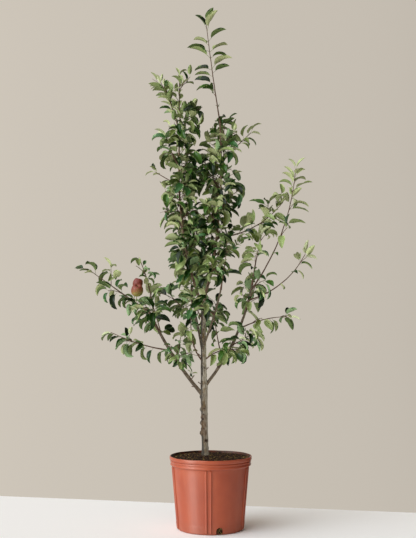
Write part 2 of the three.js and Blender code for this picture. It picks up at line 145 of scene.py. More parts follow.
# an outline of (radius, height) points, spun about the upright axis into a closed shell
def spunShell(name, outline, steps, firstTurn=0.0):
    bpy.ops.mesh.primitive_plane_add(size=0.01)
    shell = startPiece(name)
    editing(True)
    bpy.ops.mesh.merge(type="CENTER")
    start = Vector((outline[0][0], 0, outline[0][1]))
    bpy.ops.transform.translate(value=start)
    for (radius, height), (nextRadius, nextHeight) in zip(outline, outline[1:]):
        step = (nextRadius - radius, 0, nextHeight - height)
        bpy.ops.mesh.extrude_vertices_move(TRANSFORM_OT_translate={"value": step})
    bpy.ops.mesh.select_all(action="SELECT")
    bpy.ops.mesh.spin(steps=steps, angle=math.tau, center=(0, 0, 0), axis=(0, 0, 1))
    bpy.ops.mesh.select_all(action="SELECT")
    bpy.ops.mesh.remove_doubles(threshold=1e-6)
    bpy.ops.mesh.normals_make_consistent(inside=False)
    editing(False)
    around = math.radians(firstTurn)
    places = positions(shell)
    turned = places.copy()
    turned[:, 0] = places[:, 0] * math.cos(around) - places[:, 1] * math.sin(around)
    turned[:, 1] = places[:, 0] * math.sin(around) + places[:, 1] * math.cos(around)
    setPositions(shell, turned)
    return shell


# a joined mesh from arrays of corners and faces, each face with its material's number
def joinedPiece(name, places, faces, numbers, materials):
    mesh = bpy.data.meshes.new(name)
    mesh.from_pydata(np.concatenate(places).tolist(), [], faces)
    for material in materials:
        mesh.materials.append(material)
    mesh.polygons.foreach_set("material_index", np.array(numbers, np.int32))
    mesh.update()
    piece = bpy.data.objects.new(name, mesh)
    bpy.context.scene.collection.objects.link(piece)
    return piece


def finishPiece(piece, nodes=(), materials=()):
    for material in materials:
        piece.data.materials.append(material)
    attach(piece, "root")
    if nodes:
        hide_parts(*nodes)
    bpy.ops.object.select_all(action="DESELECT")
    triangles = sum(len(face.vertices) - 2 for face in piece.data.polygons)
    print("made", piece.name, triangles, "triangles")


# tools for materials

class Finish:
    # a material with a few short ways of adding nodes to it
    def __init__(self, name, color, roughness, **values):
        self.material = bpy.data.materials.new(name)
        self.material.use_nodes = True
        self.tree = self.material.node_tree
        self.shader = self.tree.nodes["Principled BSDF"]
        self.shader.inputs["Base Color"].default_value = paint(color)
        self.shader.inputs["Roughness"].default_value = roughness
        for socket, value in values.items():
            self.shader.inputs[socket.replace("_", " ")].default_value = value

    def node(self, kind, inputs=(), **values):
        made = self.tree.nodes.new("ShaderNode" + kind)
        for key, value in values.items():
            setattr(made, key, value)
        for key, value in dict(inputs).items():
            if isinstance(value, bpy.types.NodeSocket):
                self.tree.links.new(value, made.inputs[key])
            else:
                made.inputs[key].default_value = value
        return made

    def place(self, stretch=(1, 1, 1), attribute=None):
        if attribute:
            source = self.node("Attribute", attribute_name=attribute).outputs["Vector"]
        else:
            source = self.node("TexCoord").outputs["Object"]
        return self.node("Mapping", {"Vector": source, "Scale": stretch}).outputs[0]

    def grain(self, place, scale, detail=4.0, rough=0.55):
        inputs = {"Vector": place, "Scale": scale, "Detail": detail, "Roughness": rough}
        return self.node("TexNoise", inputs).outputs["Fac"]

    def ramp(self, share, stops):
        made = self.node("ValToRGB", {"Fac": share})
        elements = made.color_ramp.elements
        while len(elements) < len(stops):
            elements.new(0.5)
        for element, (at, value) in zip(elements, stops):
            element.position = at
            element.color = paint(value) if isinstance(value, str) else (value, value, value, 1)
        return made.outputs["Color"]

    def blend(self, share, first, second, kind="MIX"):
        made = self.node("Mix", {0: share}, data_type="RGBA", blend_type=kind)
        for number, value in ((6, first), (7, second)):
            if isinstance(value, str):
                made.inputs[number].default_value = paint(value)
            else:
                self.tree.links.new(value, made.inputs[number])
        return made.outputs[2]

    def math(self, kind, first, second=0.0):
        return self.node("Math", {0: first, 1: second}, operation=kind).outputs[0]

    def plus(self, first, second):
        return self.math("ADD", first, second)

    def times(self, first, second):
        return self.math("MULTIPLY", first, second)

    # grain about zero, for a ragged edge
    def ragged(self, place, scale, detail, size):
        return self.times(self.math("SUBTRACT", self.grain(place, scale, detail=detail), 0.5), size)

    # from none where a value is first, to full where it is last
    def fade(self, value, first, last, full=1.0):
        return self.node("MapRange", {0: value, 1: first, 2: last, 3: 0.0, 4: full}).outputs[0]

    def split(self, vector, axis):
        return self.node("SeparateXYZ", {"Vector": vector}).outputs[axis]

    def against(self, first, second, kind):
        return self.node("VectorMath", {0: first, 1: second}, operation=kind).outputs["Value"]

    def wire(self, socket, output):
        self.tree.links.new(output, self.shader.inputs[socket])

    def relief(self, height, distance, strength=1.0):
        bump = self.node("Bump", {"Height": height, "Distance": distance, "Strength": strength})
        self.wire("Normal", bump.outputs[0])


# pot

pot = dict(
    height=0.247,
    lipRadius=0.1415, lipDepth=0.013, lipEdge=0.0015,
    bandRadius=0.137, bandDepth=0.034, beadDepths=(0.018, 0.028), beadSize=0.0020,
    bodyRadius=0.1326, baseRadius=0.1135,
    footHeight=0.026, footSize=0.0009, edgeRadius=0.007,
    wall=0.0026, floor=0.0034,
    ribPairs=5, ribTurn=-93.5, ribInner=2.0, ribOuter=5.4, ribDepth=0.0034, ribRound=0.0022,
    drains=4, drainTurn=-75.5, drainWidth=0.022, drainHeight=0.025, drainInset=0.009,
    lipWave=0.0007,
)


# outer radius of the body at a height, between the foot and the band
def bodyRadius(height):
    return mix((pot["baseRadius"], pot["bodyRadius"]), height / (pot["height"] - pot["bandDepth"]))


# radius of the cavity at a height
def innerRadius(height):
    share = max(0.0, (height - pot["height"] + pot["bandDepth"]) / pot["bandDepth"])
    widening = (pot["bandRadius"] - pot["bodyRadius"]) * share
    return min(bodyRadius(height), pot["bodyRadius"]) - pot["wall"] + widening


# the pot's section: underside, foot, wall, two beads, rolled lip, and back down inside
def potOutline():
    height, edge, band = pot["height"], pot["edgeRadius"], pot["bandRadius"]
    base = pot["baseRadius"] + pot["footSize"] * 0.6
    points = [(0.0, 0.0), (base * 0.5, 0.0)]
    for step in range(7):
        corner = math.radians(15 * step)
        points.append((base - edge * (1 - math.sin(corner)), edge * (1 - math.cos(corner))))
    footTop = pot["footHeight"]
    points.append((bodyRadius(footTop - 0.004) + pot["footSize"], footTop - 0.004))
    points.append((bodyRadius(footTop) + pot["footSize"] * 0.7, footTop))
    points.append((bodyRadius(footTop + 0.003), footTop + 0.003))
    bodyTop = height - pot["bandDepth"] - 0.001
    points += [(bodyRadius(h), h) for h in np.linspace(footTop + 0.006, bodyTop, 12)]
    bead = pot["beadSize"]
    points.append((band - 0.0012, height - pot["beadDepths"][1] - bead * 2.1))
    for depth in reversed(pot["beadDepths"]):
        for step in range(7):
            swing = math.radians(30 * step)
            points.append((band + bead * math.sin(swing), height - depth - bead * 1.7 * math.cos(swing)))
    lip, roll = pot["lipRadius"], 0.0022
    foot = height - pot["lipDepth"]
    points += [(band, foot - 0.001), (lip - roll, foot), (lip - roll * 0.3, foot + roll * 0.4), (lip, foot + roll)]
    for step in range(7):
        swing = math.radians(30 * step)
        points.append((lip - roll + roll * math.cos(swing), height - roll + roll * math.sin(swing)))
    inside = height - pot["lipDepth"] + pot["lipEdge"]
    points += [(innerRadius(inside) + 0.002, inside + 0.004), (innerRadius(inside), inside)]
    points += [(innerRadius(h), h) for h in np.linspace(height - pot["bandDepth"], pot["floor"] + 0.004, 5)]
    points += [(innerRadius(pot["floor"]) - 0.004, pot["floor"]), (0.0, pot["floor"])]
    return points


# the arched cutter for one drain hole, standing in the corner of wall and floor
def drainCutter(turn):
    half = pot["drainWidth"] / 2
    bpy.ops.mesh.primitive_cylinder_add(vertices=32, radius=half, depth=0.04, rotation=(0, math.pi / 2, 0))
    cutter = startPiece("drain_cutter")
    bpy.ops.object.transform_apply(rotation=True)
    pick(cutter, "VERT", lambda vertex: vertex.co.z < -1e-4)
    bpy.ops.transform.resize(value=(1, 1, 0), center_override=(0, 0, 0))
    bpy.ops.transform.translate(value=(0, 0, -0.03))
    editing(False)
    cutter.location = (pot["baseRadius"] - pot["drainInset"] + 0.02, 0, pot["drainHeight"] - half)
    bpy.ops.object.transform_apply(location=True)
    cutter.rotation_euler = (0, 0, math.radians(turn))
    bpy.ops.object.transform_apply(rotation=True)
    return cutter


def potMaterial():
    finish = Finish("pot_terracotta_plastic", "ad4a2d", 0.46, Specular_IOR_Level=1.0, Anisotropic=0.92,
                    Anisotropic_Rotation=0.25, Specular_Tint=(1, 0.93, 0.82, 1))
    around = finish.node("Tangent", direction_type="RADIAL", axis="Z").outputs[0]
    finish.wire("Tangent", around)
    place = finish.place()
    flow = finish.grain(finish.place(stretch=(1, 1, 0.12)), 38, detail=3)
    cloud = finish.grain(place, 9, detail=5)
    color = finish.ramp(cloud, [(0.3, "9a3b1f"), (0.55, "a64526"), (0.8, "b2502b")])
    color = finish.blend(finish.ramp(flow, [(0.5, 0.0), (0.8, 0.2)]), color, "c27152")
    spot = finish.node("TexCoord").outputs["Object"]
    height = finish.split(spot, 2)
    # dust that the wall keeps near the floor
    dusty = finish.times(finish.fade(height, 0.045, 0.0), finish.grain(place, 60, detail=6))
    color = finish.blend(finish.times(dusty, 0.35), color, "8d6a55")
    # potting mix rubbed on the inside of the rim, and painted shade that darkens the inner wall almost to black,
    # where the surface faces the pot's axis
    surface = finish.node("NewGeometry").outputs["Normal"]
    upPart = finish.times(finish.split(surface, 2), height)
    facing = finish.math("SUBTRACT", finish.against(surface, spot, "DOT_PRODUCT"), upPart)
    soilAndShade = finish.times(finish.math("LESS_THAN", facing, -0.03), finish.fade(height, 0.2, 0.205))
    soilAndShade = finish.times(soilAndShade, finish.ramp(finish.grain(place, 55), [(0.3, 0.72), (0.6, 1.0)]))
    color = finish.blend(soilAndShade, color, "23120b")
    finish.wire("Base Color", color)
    rubbed = finish.grain(finish.place(stretch=(1, 1, 0.3)), 75, detail=6)
    rubbed = finish.ramp(rubbed, [(0.35, 0.38), (0.75, 0.47)])
    finish.wire("Roughness", finish.blend(soilAndShade, finish.blend(dusty, rubbed, "c8c8c8"), "e6e6e6"))
    pores = finish.times(finish.grain(place, 420, detail=2), 0.12)
    finish.relief(finish.plus(pores, finish.grain(place, 16, detail=2)), 0.0011, 0.35)
    return finish.material


def makePot():
    shell = spunShell("pot_shell", potOutline(), 360, pot["ribTurn"])
    bandFoot = pot["height"] - pot["bandDepth"]
    spacing = 360 / pot["ribPairs"]

    # the rib faces stand in pairs, each side of every rib turn, from the foot up to the band
    def onRib(face):
        middle, normal = face.center, face.normal
        turn = (math.degrees(math.atan2(middle.y, middle.x)) - pot["ribTurn"] + spacing / 2) % spacing - spacing / 2
        outside = normal.x * middle.x + normal.y * middle.y > 0.5 * math.hypot(middle.x, middle.y)
        low = 0.0045 < middle.z < bandFoot - 0.0005
        return outside and low and pot["ribInner"] < abs(turn) < pot["ribOuter"]

    pick(shell, "FACE", onRib)
    bpy.ops.mesh.extrude_region_shrink_fatten(TRANSFORM_OT_shrink_fatten={"value": pot["ribDepth"]})
    bpy.ops.mesh.region_to_loop()
    bpy.ops.mesh.bevel(offset=pot["ribRound"], segments=3, affect="EDGES")
    editing(False)
    addModifier(shell, "BEVEL", width=0.0007, segments=2, limit_method="ANGLE", angle_limit=math.radians(35))
    applyModifiers(shell)
    for hole in range(pot["drains"]):
        cutter = drainCutter(pot["drainTurn"] + hole * 360 / pot["drains"])
        addModifier(shell, "BOOLEAN", operation="DIFFERENCE", solver="EXACT", object=cutter)
        applyModifiers(shell)
        bpy.data.objects.remove(cutter)
    # a thin moulded lip is never quite round or level
    places = positions(shell)
    turn = np.arctan2(places[:, 1], places[:, 0])
    high = np.clip((places[:, 2] - bandFoot) / pot["bandDepth"], 0, 1) ** 2
    wave = np.sin(turn * 3 + 0.6) * 0.5 + np.sin(turn * 7 + 2.1) * 0.3 + np.sin(turn * 13) * 0.2
    places[:, 2] += high * (wave - 1) * pot["lipWave"]
    places[:, :2] *= (1 - high * (1 + wave) * pot["lipWave"] * 3)[:, None]
    setPositions(shell, places)
    smoothBy(shell, 32)
    finishPiece(shell, ["pot"], [potMaterial()])


makePot()


# potting mix

soil = dict(
    depth=0.009, moundHeight=0.006, moundRadius=0.078, treeRing=0.019,
    roughness=0.0022, crumbs=2600, crumbSize=(0.0012, 0.0034), chips=320, chipSize=(0.003, 0.0075), fibres=260,
    holeCrumbs=60, holeRoots=13, holeShadeShare=0.75, seed=41,
)


# height of the mix at a distance from the middle
def soilHeight(radius):
    level = pot["height"] - soil["depth"]
    mound = soil["moundHeight"]
    reach = [0.0, soil["treeRing"], soil["treeRing"] * 2, soil["moundRadius"], innerRadius(level)]
    return level + np.interp(radius, reach, [mound, mound, mound * 0.7, mound * 0.15, 0.0])


def soilMaterial(name, dark, mid, light):
    finish = Finish(name, mid, 0.92, Specular_IOR_Level=0.25)
    place = finish.place()
    tone = finish.grain(place, 260, detail=8, rough=0.65)
    color = finish.ramp(tone, [(0.3, dark), (0.52, mid), (0.72, light)])
    finish.wire("Base Color", color)
    finish.relief(finish.grain(place, 700, detail=5), 0.0008, 0.7)
    return finish.material


def makeSoil():
    level = pot["height"] - soil["depth"]
    bandFoot = pot["height"] - pot["bandDepth"]
    low = pot["floor"] + gap
    outline = [(0.0, low), (innerRadius(low) - 0.004 - gap, low), (innerRadius(low + 0.004) - gap * 2, low + 0.004)]
    outline += [(innerRadius(h) - gap * 2, h) for h in np.linspace(0.012, bandFoot, 14)]
    rim = innerRadius(level) - gap * 3
    outline += [(r, float(soilHeight(r))) for r in np.linspace(rim, 0.0, 72)]
    bed = spunShell("soil_bed", outline, 220)
    places = positions(bed)
    top = places[:, 2] > level - 1e-4
    radius = np.hypot(places[:, 0], places[:, 1])
    for i in np.nonzero(top)[0]:
        spot = Vector(places[i])
        lump = noise.fractal(spot * 190, 1.0, 2.0, 4) + 0.8 * noise.noise(spot * 60)
        edge = min(1.0, (rim - radius[i]) / 0.006)
        places[i, 2] += (soil["roughness"] * lump + 0.0008) * edge
    setPositions(bed, places)
    smoothBy(bed, 40)
    mixture = soilMaterial("potting_mix", "100905", "27180e", "44301d")
    finishPiece(bed, ["soil"], [mixture])
    return mixture


# a lump of mix, a chip of bark or a root fibre: an ico sphere drawn out to a size
def modelCrumb(kind, size, seed):
    bpy.ops.mesh.primitive_ico_sphere_add(subdivisions=1, radius=1)
    crumb = startPiece(kind)
    places = positions(crumb)
    for i, place in enumerate(places):
        places[i] = place * (1 + 0.55 * noise.noise(Vector(place) * 2.3 + Vector((seed, 0, 0))))
    setPositions(crumb, places * np.array(size))
    faces = [list(face.vertices) for face in crumb.data.polygons]
    made = positions(crumb), faces
    bpy.data.objects.remove(crumb)
    return made


# copies of small shapes as arrays: each has a place, a turn and a size
class Heap:
    def __init__(self):
        self.places, self.faces, self.numbers, self.count = [], [], [], 0

    def add(self, shape, axes, place, size, number):
        corners, faces = shape
        self.places.append(corners * size @ axes + place)
        self.faces += [[corner + self.count for corner in face] for face in faces]
        self.numbers += [number] * len(faces) if isinstance(number, int) else number
        self.count += len(corners)

    def tube(self, places, radii, sides, number):
        self.add(tubeShape(np.array(places), radii, sides), np.identity(3), np.zeros(3), 1, number)


def looseTurn(random, flat=0.4):
    normal = unit(np.array([random() - 0.5, random() - 0.5, 0.5 / flat * (0.3 + random())]))
    side = unit(np.cross(normal, heading(360 * random(), 0)))
    return np.array([side, np.cross(normal, side), normal])


def makeCrumbs(mixMaterial):
    random = seededRandom(soil["seed"])
    lumps = [modelCrumb("lump", (1, 0.85, 0.7), seed) for seed in (1, 5, 9)]
    chips = [modelCrumb("chip", (1, 0.5, 0.24), seed) for seed in (2, 7)]
    fibre = modelCrumb("fibre", (1, 0.07, 0.05), 3)
    rootEnd = modelCrumb("root_end", (1, 0.17, 0.14), 4)
    heap = Heap()
    rim = innerRadius(pot["height"] - soil["depth"]) - 0.003
    kinds = [(lumps, soil["crumbs"], soil["crumbSize"], (0, 0, 0, 1)),
             (chips, soil["chips"], soil["chipSize"], (1, 2, 2, 0)),
             ([fibre], soil["fibres"], (0.004, 0.011), (2, 2, 1, 3))]
    for shapes, count, sizes, tones in kinds:
        for i in range(count):
            radius, turn = rim * math.sqrt(random()), 360 * random()
            size = mix(sizes, random() ** 2)
            if radius > rim - size:
                radius = rim - size
            place = heading(turn, 0) * radius + upward * (soilHeight(radius) + soil["roughness"] * 0.7)
            heap.add(shapes[i % len(shapes)], looseTurn(random), place, size, tones[int(4 * random())])
    # the mix and root ends that show in the drain holes; most of that mix takes a darker copy of the mix's colours,
    # painted shade in the holes
    for hole in range(pot["drains"]):
        for i in range(soil["holeCrumbs"] + soil["holeRoots"]):
            turn = pot["drainTurn"] + hole * 360 / pot["drains"] + 9 * (random() - 0.5)
            height = 0.005 + (pot["drainHeight"] - 0.007) * random()
            isRoot = i >= soil["holeCrumbs"]
            size = mix((0.004, 0.0075), random()) if isRoot else mix((0.0014, 0.0032), random())
            place = heading(turn, 0) * (innerRadius(height) + (0.001 if isRoot else -size * 0.35)) + upward * height
            axes = looseTurn(random, 1.0)
            if isRoot:
                along = unit(heading(turn + 70 * (random() - 0.5), 70 * random() - 45))
                side = unit(np.cross(along, upward))
                axes = np.array([along, side, np.cross(along, side)])
            tone = 2 if isRoot else 3 if random() < soil["holeShadeShare"] else 1
            heap.add(rootEnd if isRoot else lumps[i % 3], axes, place, size, tone)
    bark = soilMaterial("bark_chips", "24150c", "4b3120", "7a5738")
    straw = soilMaterial("root_fibres", "4a3a1c", "7d6636", "a98f56")
    # a darker copy of the mix for the drain holes: painted shade
    holeShade = soilMaterial("hole_shade_mix", "0b0705", "1c120c", "35251a")
    crumbs = joinedPiece("soil_crumbs", heap.places, heap.faces, heap.numbers, [mixMaterial, bark, straw, holeShade])
    finishPiece(crumbs)


makeCrumbs(makeSoil())


# lines of limbs and shoots

# a smooth line through points, read by the share of its length
class Line:
    steps = 200

    def __init__(self, points):
        self.points = np.array(points, float)
        rough = np.array([self.between(i / self.steps) for i in range(self.steps + 1)])
        self.lengths = np.concatenate([[0], np.cumsum(np.linalg.norm(np.diff(rough, axis=0), axis=1))])
        self.length = self.lengths[-1]

    # centripetal Catmull-Rom, with the end points' neighbours mirrored
    def between(self, share):
        points, last = self.points, len(self.points) - 1
        i = min(int(share * last), last - 1)
        weight = share * last - i
        before = points[i - 1] if i > 0 else 2 * points[0] - points[1]
        after = points[i + 2] if i + 2 <= last else 2 * points[last] - points[last - 1]
        near = [before, points[i], points[i + 1], after]
        span = [math.sqrt(np.linalg.norm(near[k + 1] - near[k])) for k in range(3)]
        step = near[2] - near[1]
        leave = (near[1] - near[0]) / span[0] - (near[2] - near[0]) / (span[0] + span[1]) + step / span[1]
        arrive = step / span[1] - (near[3] - near[1]) / (span[1] + span[2]) + (near[3] - near[2]) / span[2]
        leave, arrive = leave * span[1], arrive * span[1]
        curve = 3 * step - 2 * leave - arrive
        return near[1] + leave * weight + curve * weight ** 2 + (leave + arrive - 2 * step) * weight ** 3

    def timeAt(self, share):
        return np.interp(share * self.length, self.lengths, np.arange(self.steps + 1) / self.steps)

    def pointAt(self, share):
        return self.between(self.timeAt(share))

    def tangentAt(self, share):
        time = self.timeAt(share)
        return unit(self.between(min(time + 1e-4, 1)) - self.between(max(time - 1e-4, 0)))

    def spaced(self, steps):
        return np.array([self.pointAt(i / steps) for i in range(steps + 1)])


# the line of a limb: its heading turns evenly, or eased, from the first values to the last
def limbLine(start, spec, steps):
    points = [start]
    for i in range(steps):
        share = ((i + 0.5) / steps) ** spec.get("ease", 1)
        stride = heading(mix(spec["turn"], share), mix(spec["rise"], share)) * spec["length"] / steps
        points.append(points[-1] + stride)
    return Line(points)


trunk = dict(
    foot=(-0.0185, 0.014, pot["height"] - soil["depth"] + soil["moundHeight"] + gap),
    turn=(180, 180), rise=(88.5, 90), length=0.540, steps=16,
    taper=((0, 0.014), (0.03, 0.0118), (0.07, 0.0112), (0.3, 0.011), (0.39, 0.012),
           (0.5, 0.0104), (0.7, 0.0092), (1, 0.0074)),
)

limbSpecs = [
    dict(name="right_leader", on="trunk", at=1, turn=(0, 8), rise=(68, 93), ease=0.5,
         length=0.640, radii=(0.0054, 0.0027)),
    dict(name="left_leader", on="trunk", at=0.955, turn=(180, 172), rise=(60, 94), ease=0.5,
         length=0.655, radii=(0.0046, 0.0026)),
    dict(name="left_bough", on="trunk", at=0.375, turn=(182, 190), rise=(48, 66),
         length=0.350, radii=(0.0066, 0.0042)),
    dict(name="right_bough", on="trunk", at=0.435, turn=(-4, -12), rise=(50, 79),
         length=0.398, radii=(0.0058, 0.0036)),
    dict(name="front_bough", on="trunk", at=0.7, turn=(-72, -60), rise=(38, 66),
         length=0.245, radii=(0.0042, 0.0029)),
    dict(name="back_bough", on="trunk", at=0.62, turn=(98, 112), rise=(38, 68),
         length=0.290, radii=(0.0046, 0.003)),
]


# trunk, leaders and boughs

# a radius read off a list of (share, radius) pairs
def taperAt(taper, share):
    shares, radii = zip(*taper)
    return float(np.interp(share, shares, radii))


limbs = {}
rootDepth = 0.0025  # how far inside its carrier's end a limb that carries on begins
limbStride = 0.052  # the most that a step of a limb's line is long


def startOn(carrier, at):
    start = carrier["line"].pointAt(at)
    return start - carrier["line"].tangentAt(1) * rootDepth if at == 1 else start


def layLimbs():
    line = limbLine(np.array(trunk["foot"]), trunk, trunk["steps"])
    limbs["trunk"] = dict(line=line, radiusAt=lambda share: taperAt(trunk["taper"], share),
                          steps=trunk["steps"], spec=trunk)
    for spec in limbSpecs:
        steps = math.ceil(spec["length"] / limbStride)
        line = limbLine(startOn(limbs[spec["on"]], spec["at"]), spec, steps)
        radii = spec["radii"]
        limbs[spec["name"]] = dict(line=line, radiusAt=lambda share, radii=radii: mix(radii, share),
                                   steps=steps, spec=spec)
    for limb in limbs.values():
        limb["points"] = limb["line"].spaced(limb["steps"] * 2)


layLimbs()

bark = dict(
    trunkSides=48, boughSides=28, leaderSides=20, ringStep=0.0022,
    flute=0.0006, lump=0.0009, grain=0.0002, flare=0.45, flareLength=0.016, collar=0.0016,
)

# knots, pruning scars and stubs: along the trunk (share), the side they are on, width and rise
trunkKnots = [
    (0.216, 190, 0.0070, 0.0072), (0.152, 184, 0.0080, 0.0094), (0.302, 186, 0.0062, 0.0066),
    (0.178, 196, 0.0044, 0.0038), (0.250, 176, 0.0044, 0.0034), (0.096, -72, 0.0060, -0.0020),
    (0.380, 186, 0.0050, 0.0034), (0.270, 4, 0.0044, 0.0024), (0.182, -96, 0.0052, -0.0013),
    (0.262, -30, 0.0038, 0.0014), (0.345, 210, 0.0040, 0.0015), (0.055, 20, 0.0044, 0.0015),
    (0.260, 60, 0.0042, 0.0016), (0.480, 200, 0.0034, 0.0013), (0.660, -60, 0.0032, 0.0012),
    (0.800, 160, 0.0030, 0.0012),
]
# brown patches and dark scars on the trunk: share of its length, side, size, strength and color
trunkScars = [
    (0.150, -108, 0.016, 0.6, "553a1d"), (0.195, -104, 0.017, 0.65, "5a3f22"), (0.245, -110, 0.017, 0.65, "4e351e"),
    (0.300, -102, 0.014, 0.5, "5a4426"), (0.096, -72, 0.0085, 0.9, "33180e"), (0.234, -122, 0.0055, 0.9, "24160e"),
    (0.262, -104, 0.0040, 0.8, "24160e"), (0.300, -92, 0.0038, 0.8, "2e1d12"), (0.440, 214, 0.0060, 0.9, "24160e"),
    (0.172, -96, 0.0040, 0.7, "2e1d12"), (0.560, -70, 0.0050, 0.7, "2e1d12"),
]


# a limb as a curve with its radii, made a mesh, with the bark's relief put into its rings
def modelLimb(name, limb, sides, knots=()):
    line, length = limb["line"], limb["line"].length
    rings = max(8, round(length / bark["ringStep"]))
    bpy.ops.curve.primitive_bezier_curve_add()
    curve = bpy.context.object.data
    curve.splines.clear()
    spline = curve.splines.new("POLY")
    spline.points.add(rings)
    shares = np.arange(rings + 1) / rings
    for point, share in zip(spline.points, shares):
        radius = limb["radiusAt"](share)
        if name != "trunk":
            radius *= 1 + bark["flare"] * math.exp(-((share * length) / bark["flareLength"]) ** 2)
        point.co = (*line.pointAt(share), 1)
        point.radius = radius * min(1, math.sqrt(max(0.12, (1 - share) * length / 0.004)))
    curve.dimensions = "3D"
    curve.twist_mode = "MINIMUM"
    curve.bevel_depth = 1.0
    curve.bevel_resolution = (sides - 4) // 2
    curve.use_fill_caps = True
    bpy.ops.object.convert(target="MESH")
    piece = startPiece(name + "_bark")
    places = positions(piece)[:(rings + 1) * sides].reshape(rings + 1, sides, 3)
    middles = places.mean(axis=1, keepdims=True)
    outward = places - middles
    radii = np.linalg.norm(outward, axis=2, keepdims=True)
    outward = outward / radii
    seed = 7.3 * len(name)
    around = np.arctan2(outward[..., 1], outward[..., 0])
    barkPlaces = np.zeros_like(places)
    relief = np.zeros((rings + 1, sides))
    turns = np.arange(sides) / sides * math.tau
    for i in range(rings + 1):
        along = shares[i] * length
        radius = float(radii[i, 0, 0])
        for k in range(sides):
            x, y = math.cos(turns[k]), math.sin(turns[k])
            barkPlaces[i, k] = x * radius, y * radius, along
            flute = noise.noise(Vector((x * 2.2, y * 2.2, along * 9 + seed)))
            lump = noise.noise(Vector((x * 1.1 + seed, y * 1.1, along * 55)))
            grain = noise.fractal(Vector((x * 4, y * 4, along * 420 + seed)), 1.0, 2.0, 3)
            size = min(1.0, radius / 0.009)
            relief[i, k] = (bark["flute"] * flute + bark["lump"] * lump + bark["grain"] * grain) * size
    for share, turn, width, rise in knots:
        toward = math.radians(turn)
        aside = np.abs((around - toward + math.pi) % math.tau - math.pi) * radii[..., 0]
        away = (shares[:, None] - share) * length
        ring = np.sqrt(aside ** 2 + (away * 0.8) ** 2) / width
        relief += rise * np.exp(-ring ** 2 * 2.2) - abs(rise) * 0.45 * np.exp(-ring ** 2 * 14)
    # collars where other limbs leave this one
    for other in limbs.values():
        if other["spec"].get("on") == name and 0 < other["spec"]["at"] < 0.98:
            way = other["line"].tangentAt(0)
            aside = (around - math.atan2(way[1], way[0]) + math.pi) % math.tau - math.pi
            away = (shares[:, None] - other["spec"]["at"]) * length - 0.004
            relief += bark["collar"] * np.exp(-(aside / 0.9) ** 2 - (away / 0.011) ** 2)
    places = places + outward * relief[..., None]
    everywhere = positions(piece)
    everywhere[:(rings + 1) * sides] = places.reshape(-1, 3)
    setPositions(piece, everywhere)
    stored = np.zeros((len(everywhere), 3))
    stored[:(rings + 1) * sides] = barkPlaces.reshape(-1, 3)
    attribute = piece.data.attributes.new("bark", "FLOAT_VECTOR", "POINT")
    attribute.data.foreach_set("vector", stored.ravel())
    smoothBy(piece, 60)
    return piece


# bark read along and around its limb: streaks, lenticels across them, a brown bloom, and painted shade and painted
# light on its two sides
def barkMaterial(name, dark, mid, light, bloom="7a7852", bloomShare=0.0, shadeSide=None, shadeStrength=0.88, scars=()):
    finish = Finish(name, mid, 0.78, Specular_IOR_Level=0.3)
    long = finish.place(stretch=(1, 1, 0.22), attribute="bark")
    place = finish.place(attribute="bark")
    across = finish.place(stretch=(0.35, 0.35, 1.5), attribute="bark")
    color = finish.ramp(finish.grain(long, 320, detail=6, rough=0.6), [(0.33, dark), (0.52, mid), (0.7, light)])
    color = finish.blend(finish.ramp(finish.grain(place, 95, detail=4), [(0.5, 0.0), (0.68, 0.5)]), color, light)
    lenticels = finish.ramp(finish.grain(across, 620, detail=1), [(0.64, 0.0), (0.7, 0.8)])
    color = finish.blend(finish.times(lenticels, 0.45), color, dark)
    if bloomShare:
        algae = finish.ramp(finish.grain(place, 48, detail=3), [(0.42, 0.0), (0.62, bloomShare)])
        color = finish.blend(algae, color, bloom)
    # painted shade darkens the side that faces the given heading, and painted light pales the side away from it, both
    # with a ragged edge
    if shadeSide is not None:
        surface = finish.node("NewGeometry").outputs["Normal"]
        toShadeSide = finish.against(surface, heading(shadeSide, 0), "DOT_PRODUCT")
        share = finish.plus(toShadeSide, finish.ragged(long, 150, 5, 1.3))
        color = finish.blend(finish.fade(share, -0.1, -0.6, 0.85), color, "cfc8b6")
        color = finish.blend(finish.fade(share, 0.3, 0.75, shadeStrength), color, "2d2924")
    here = finish.node("TexCoord").outputs["Object"]
    for at, turn, size, strength, brown in scars:
        limb = limbs["trunk"]
        spot = limb["line"].pointAt(at) + heading(turn, 0) * limb["radiusAt"](at)
        apart = finish.plus(finish.against(here, spot, "DISTANCE"), finish.ragged(long, 260, 4, size * 1.6))
        color = finish.blend(finish.fade(apart, size, size * 0.5, strength), color, brown)
    finish.wire("Base Color", color)
    height = finish.plus(finish.grain(long, 420, detail=6), finish.times(lenticels, 0.4))
    finish.relief(height, 0.0007, 0.8)
    return finish.material


# painted shade on the left of the trunk and the left front of the boughs, painted light on the sides away from them
trunkBark = barkMaterial("trunk_bark", "55473a", "8f8676", "c6beac", bloom="6a5330", bloomShare=0.85, shadeSide=192,
                         scars=trunkScars)
boughBark = barkMaterial("bough_bark", "4a3b2e", "7a6853", "a8987f", shadeSide=225, shadeStrength=0.6)
leaderBark = barkMaterial("leader_bark", "4c3a2e", "836b57", "ab967d")

for limbName, limb in limbs.items():
    if limbName == "trunk":
        made = modelLimb(limbName, limb, bark["trunkSides"], trunkKnots)
        finishPiece(made, [limbName], [trunkBark])
    else:
        leader = limbName.endswith("leader")
        made = modelLimb(limbName, limb, bark["leaderSides"] if leader else bark["boughSides"])
        finishPiece(made, [limbName], [leaderBark if leader else boughBark])


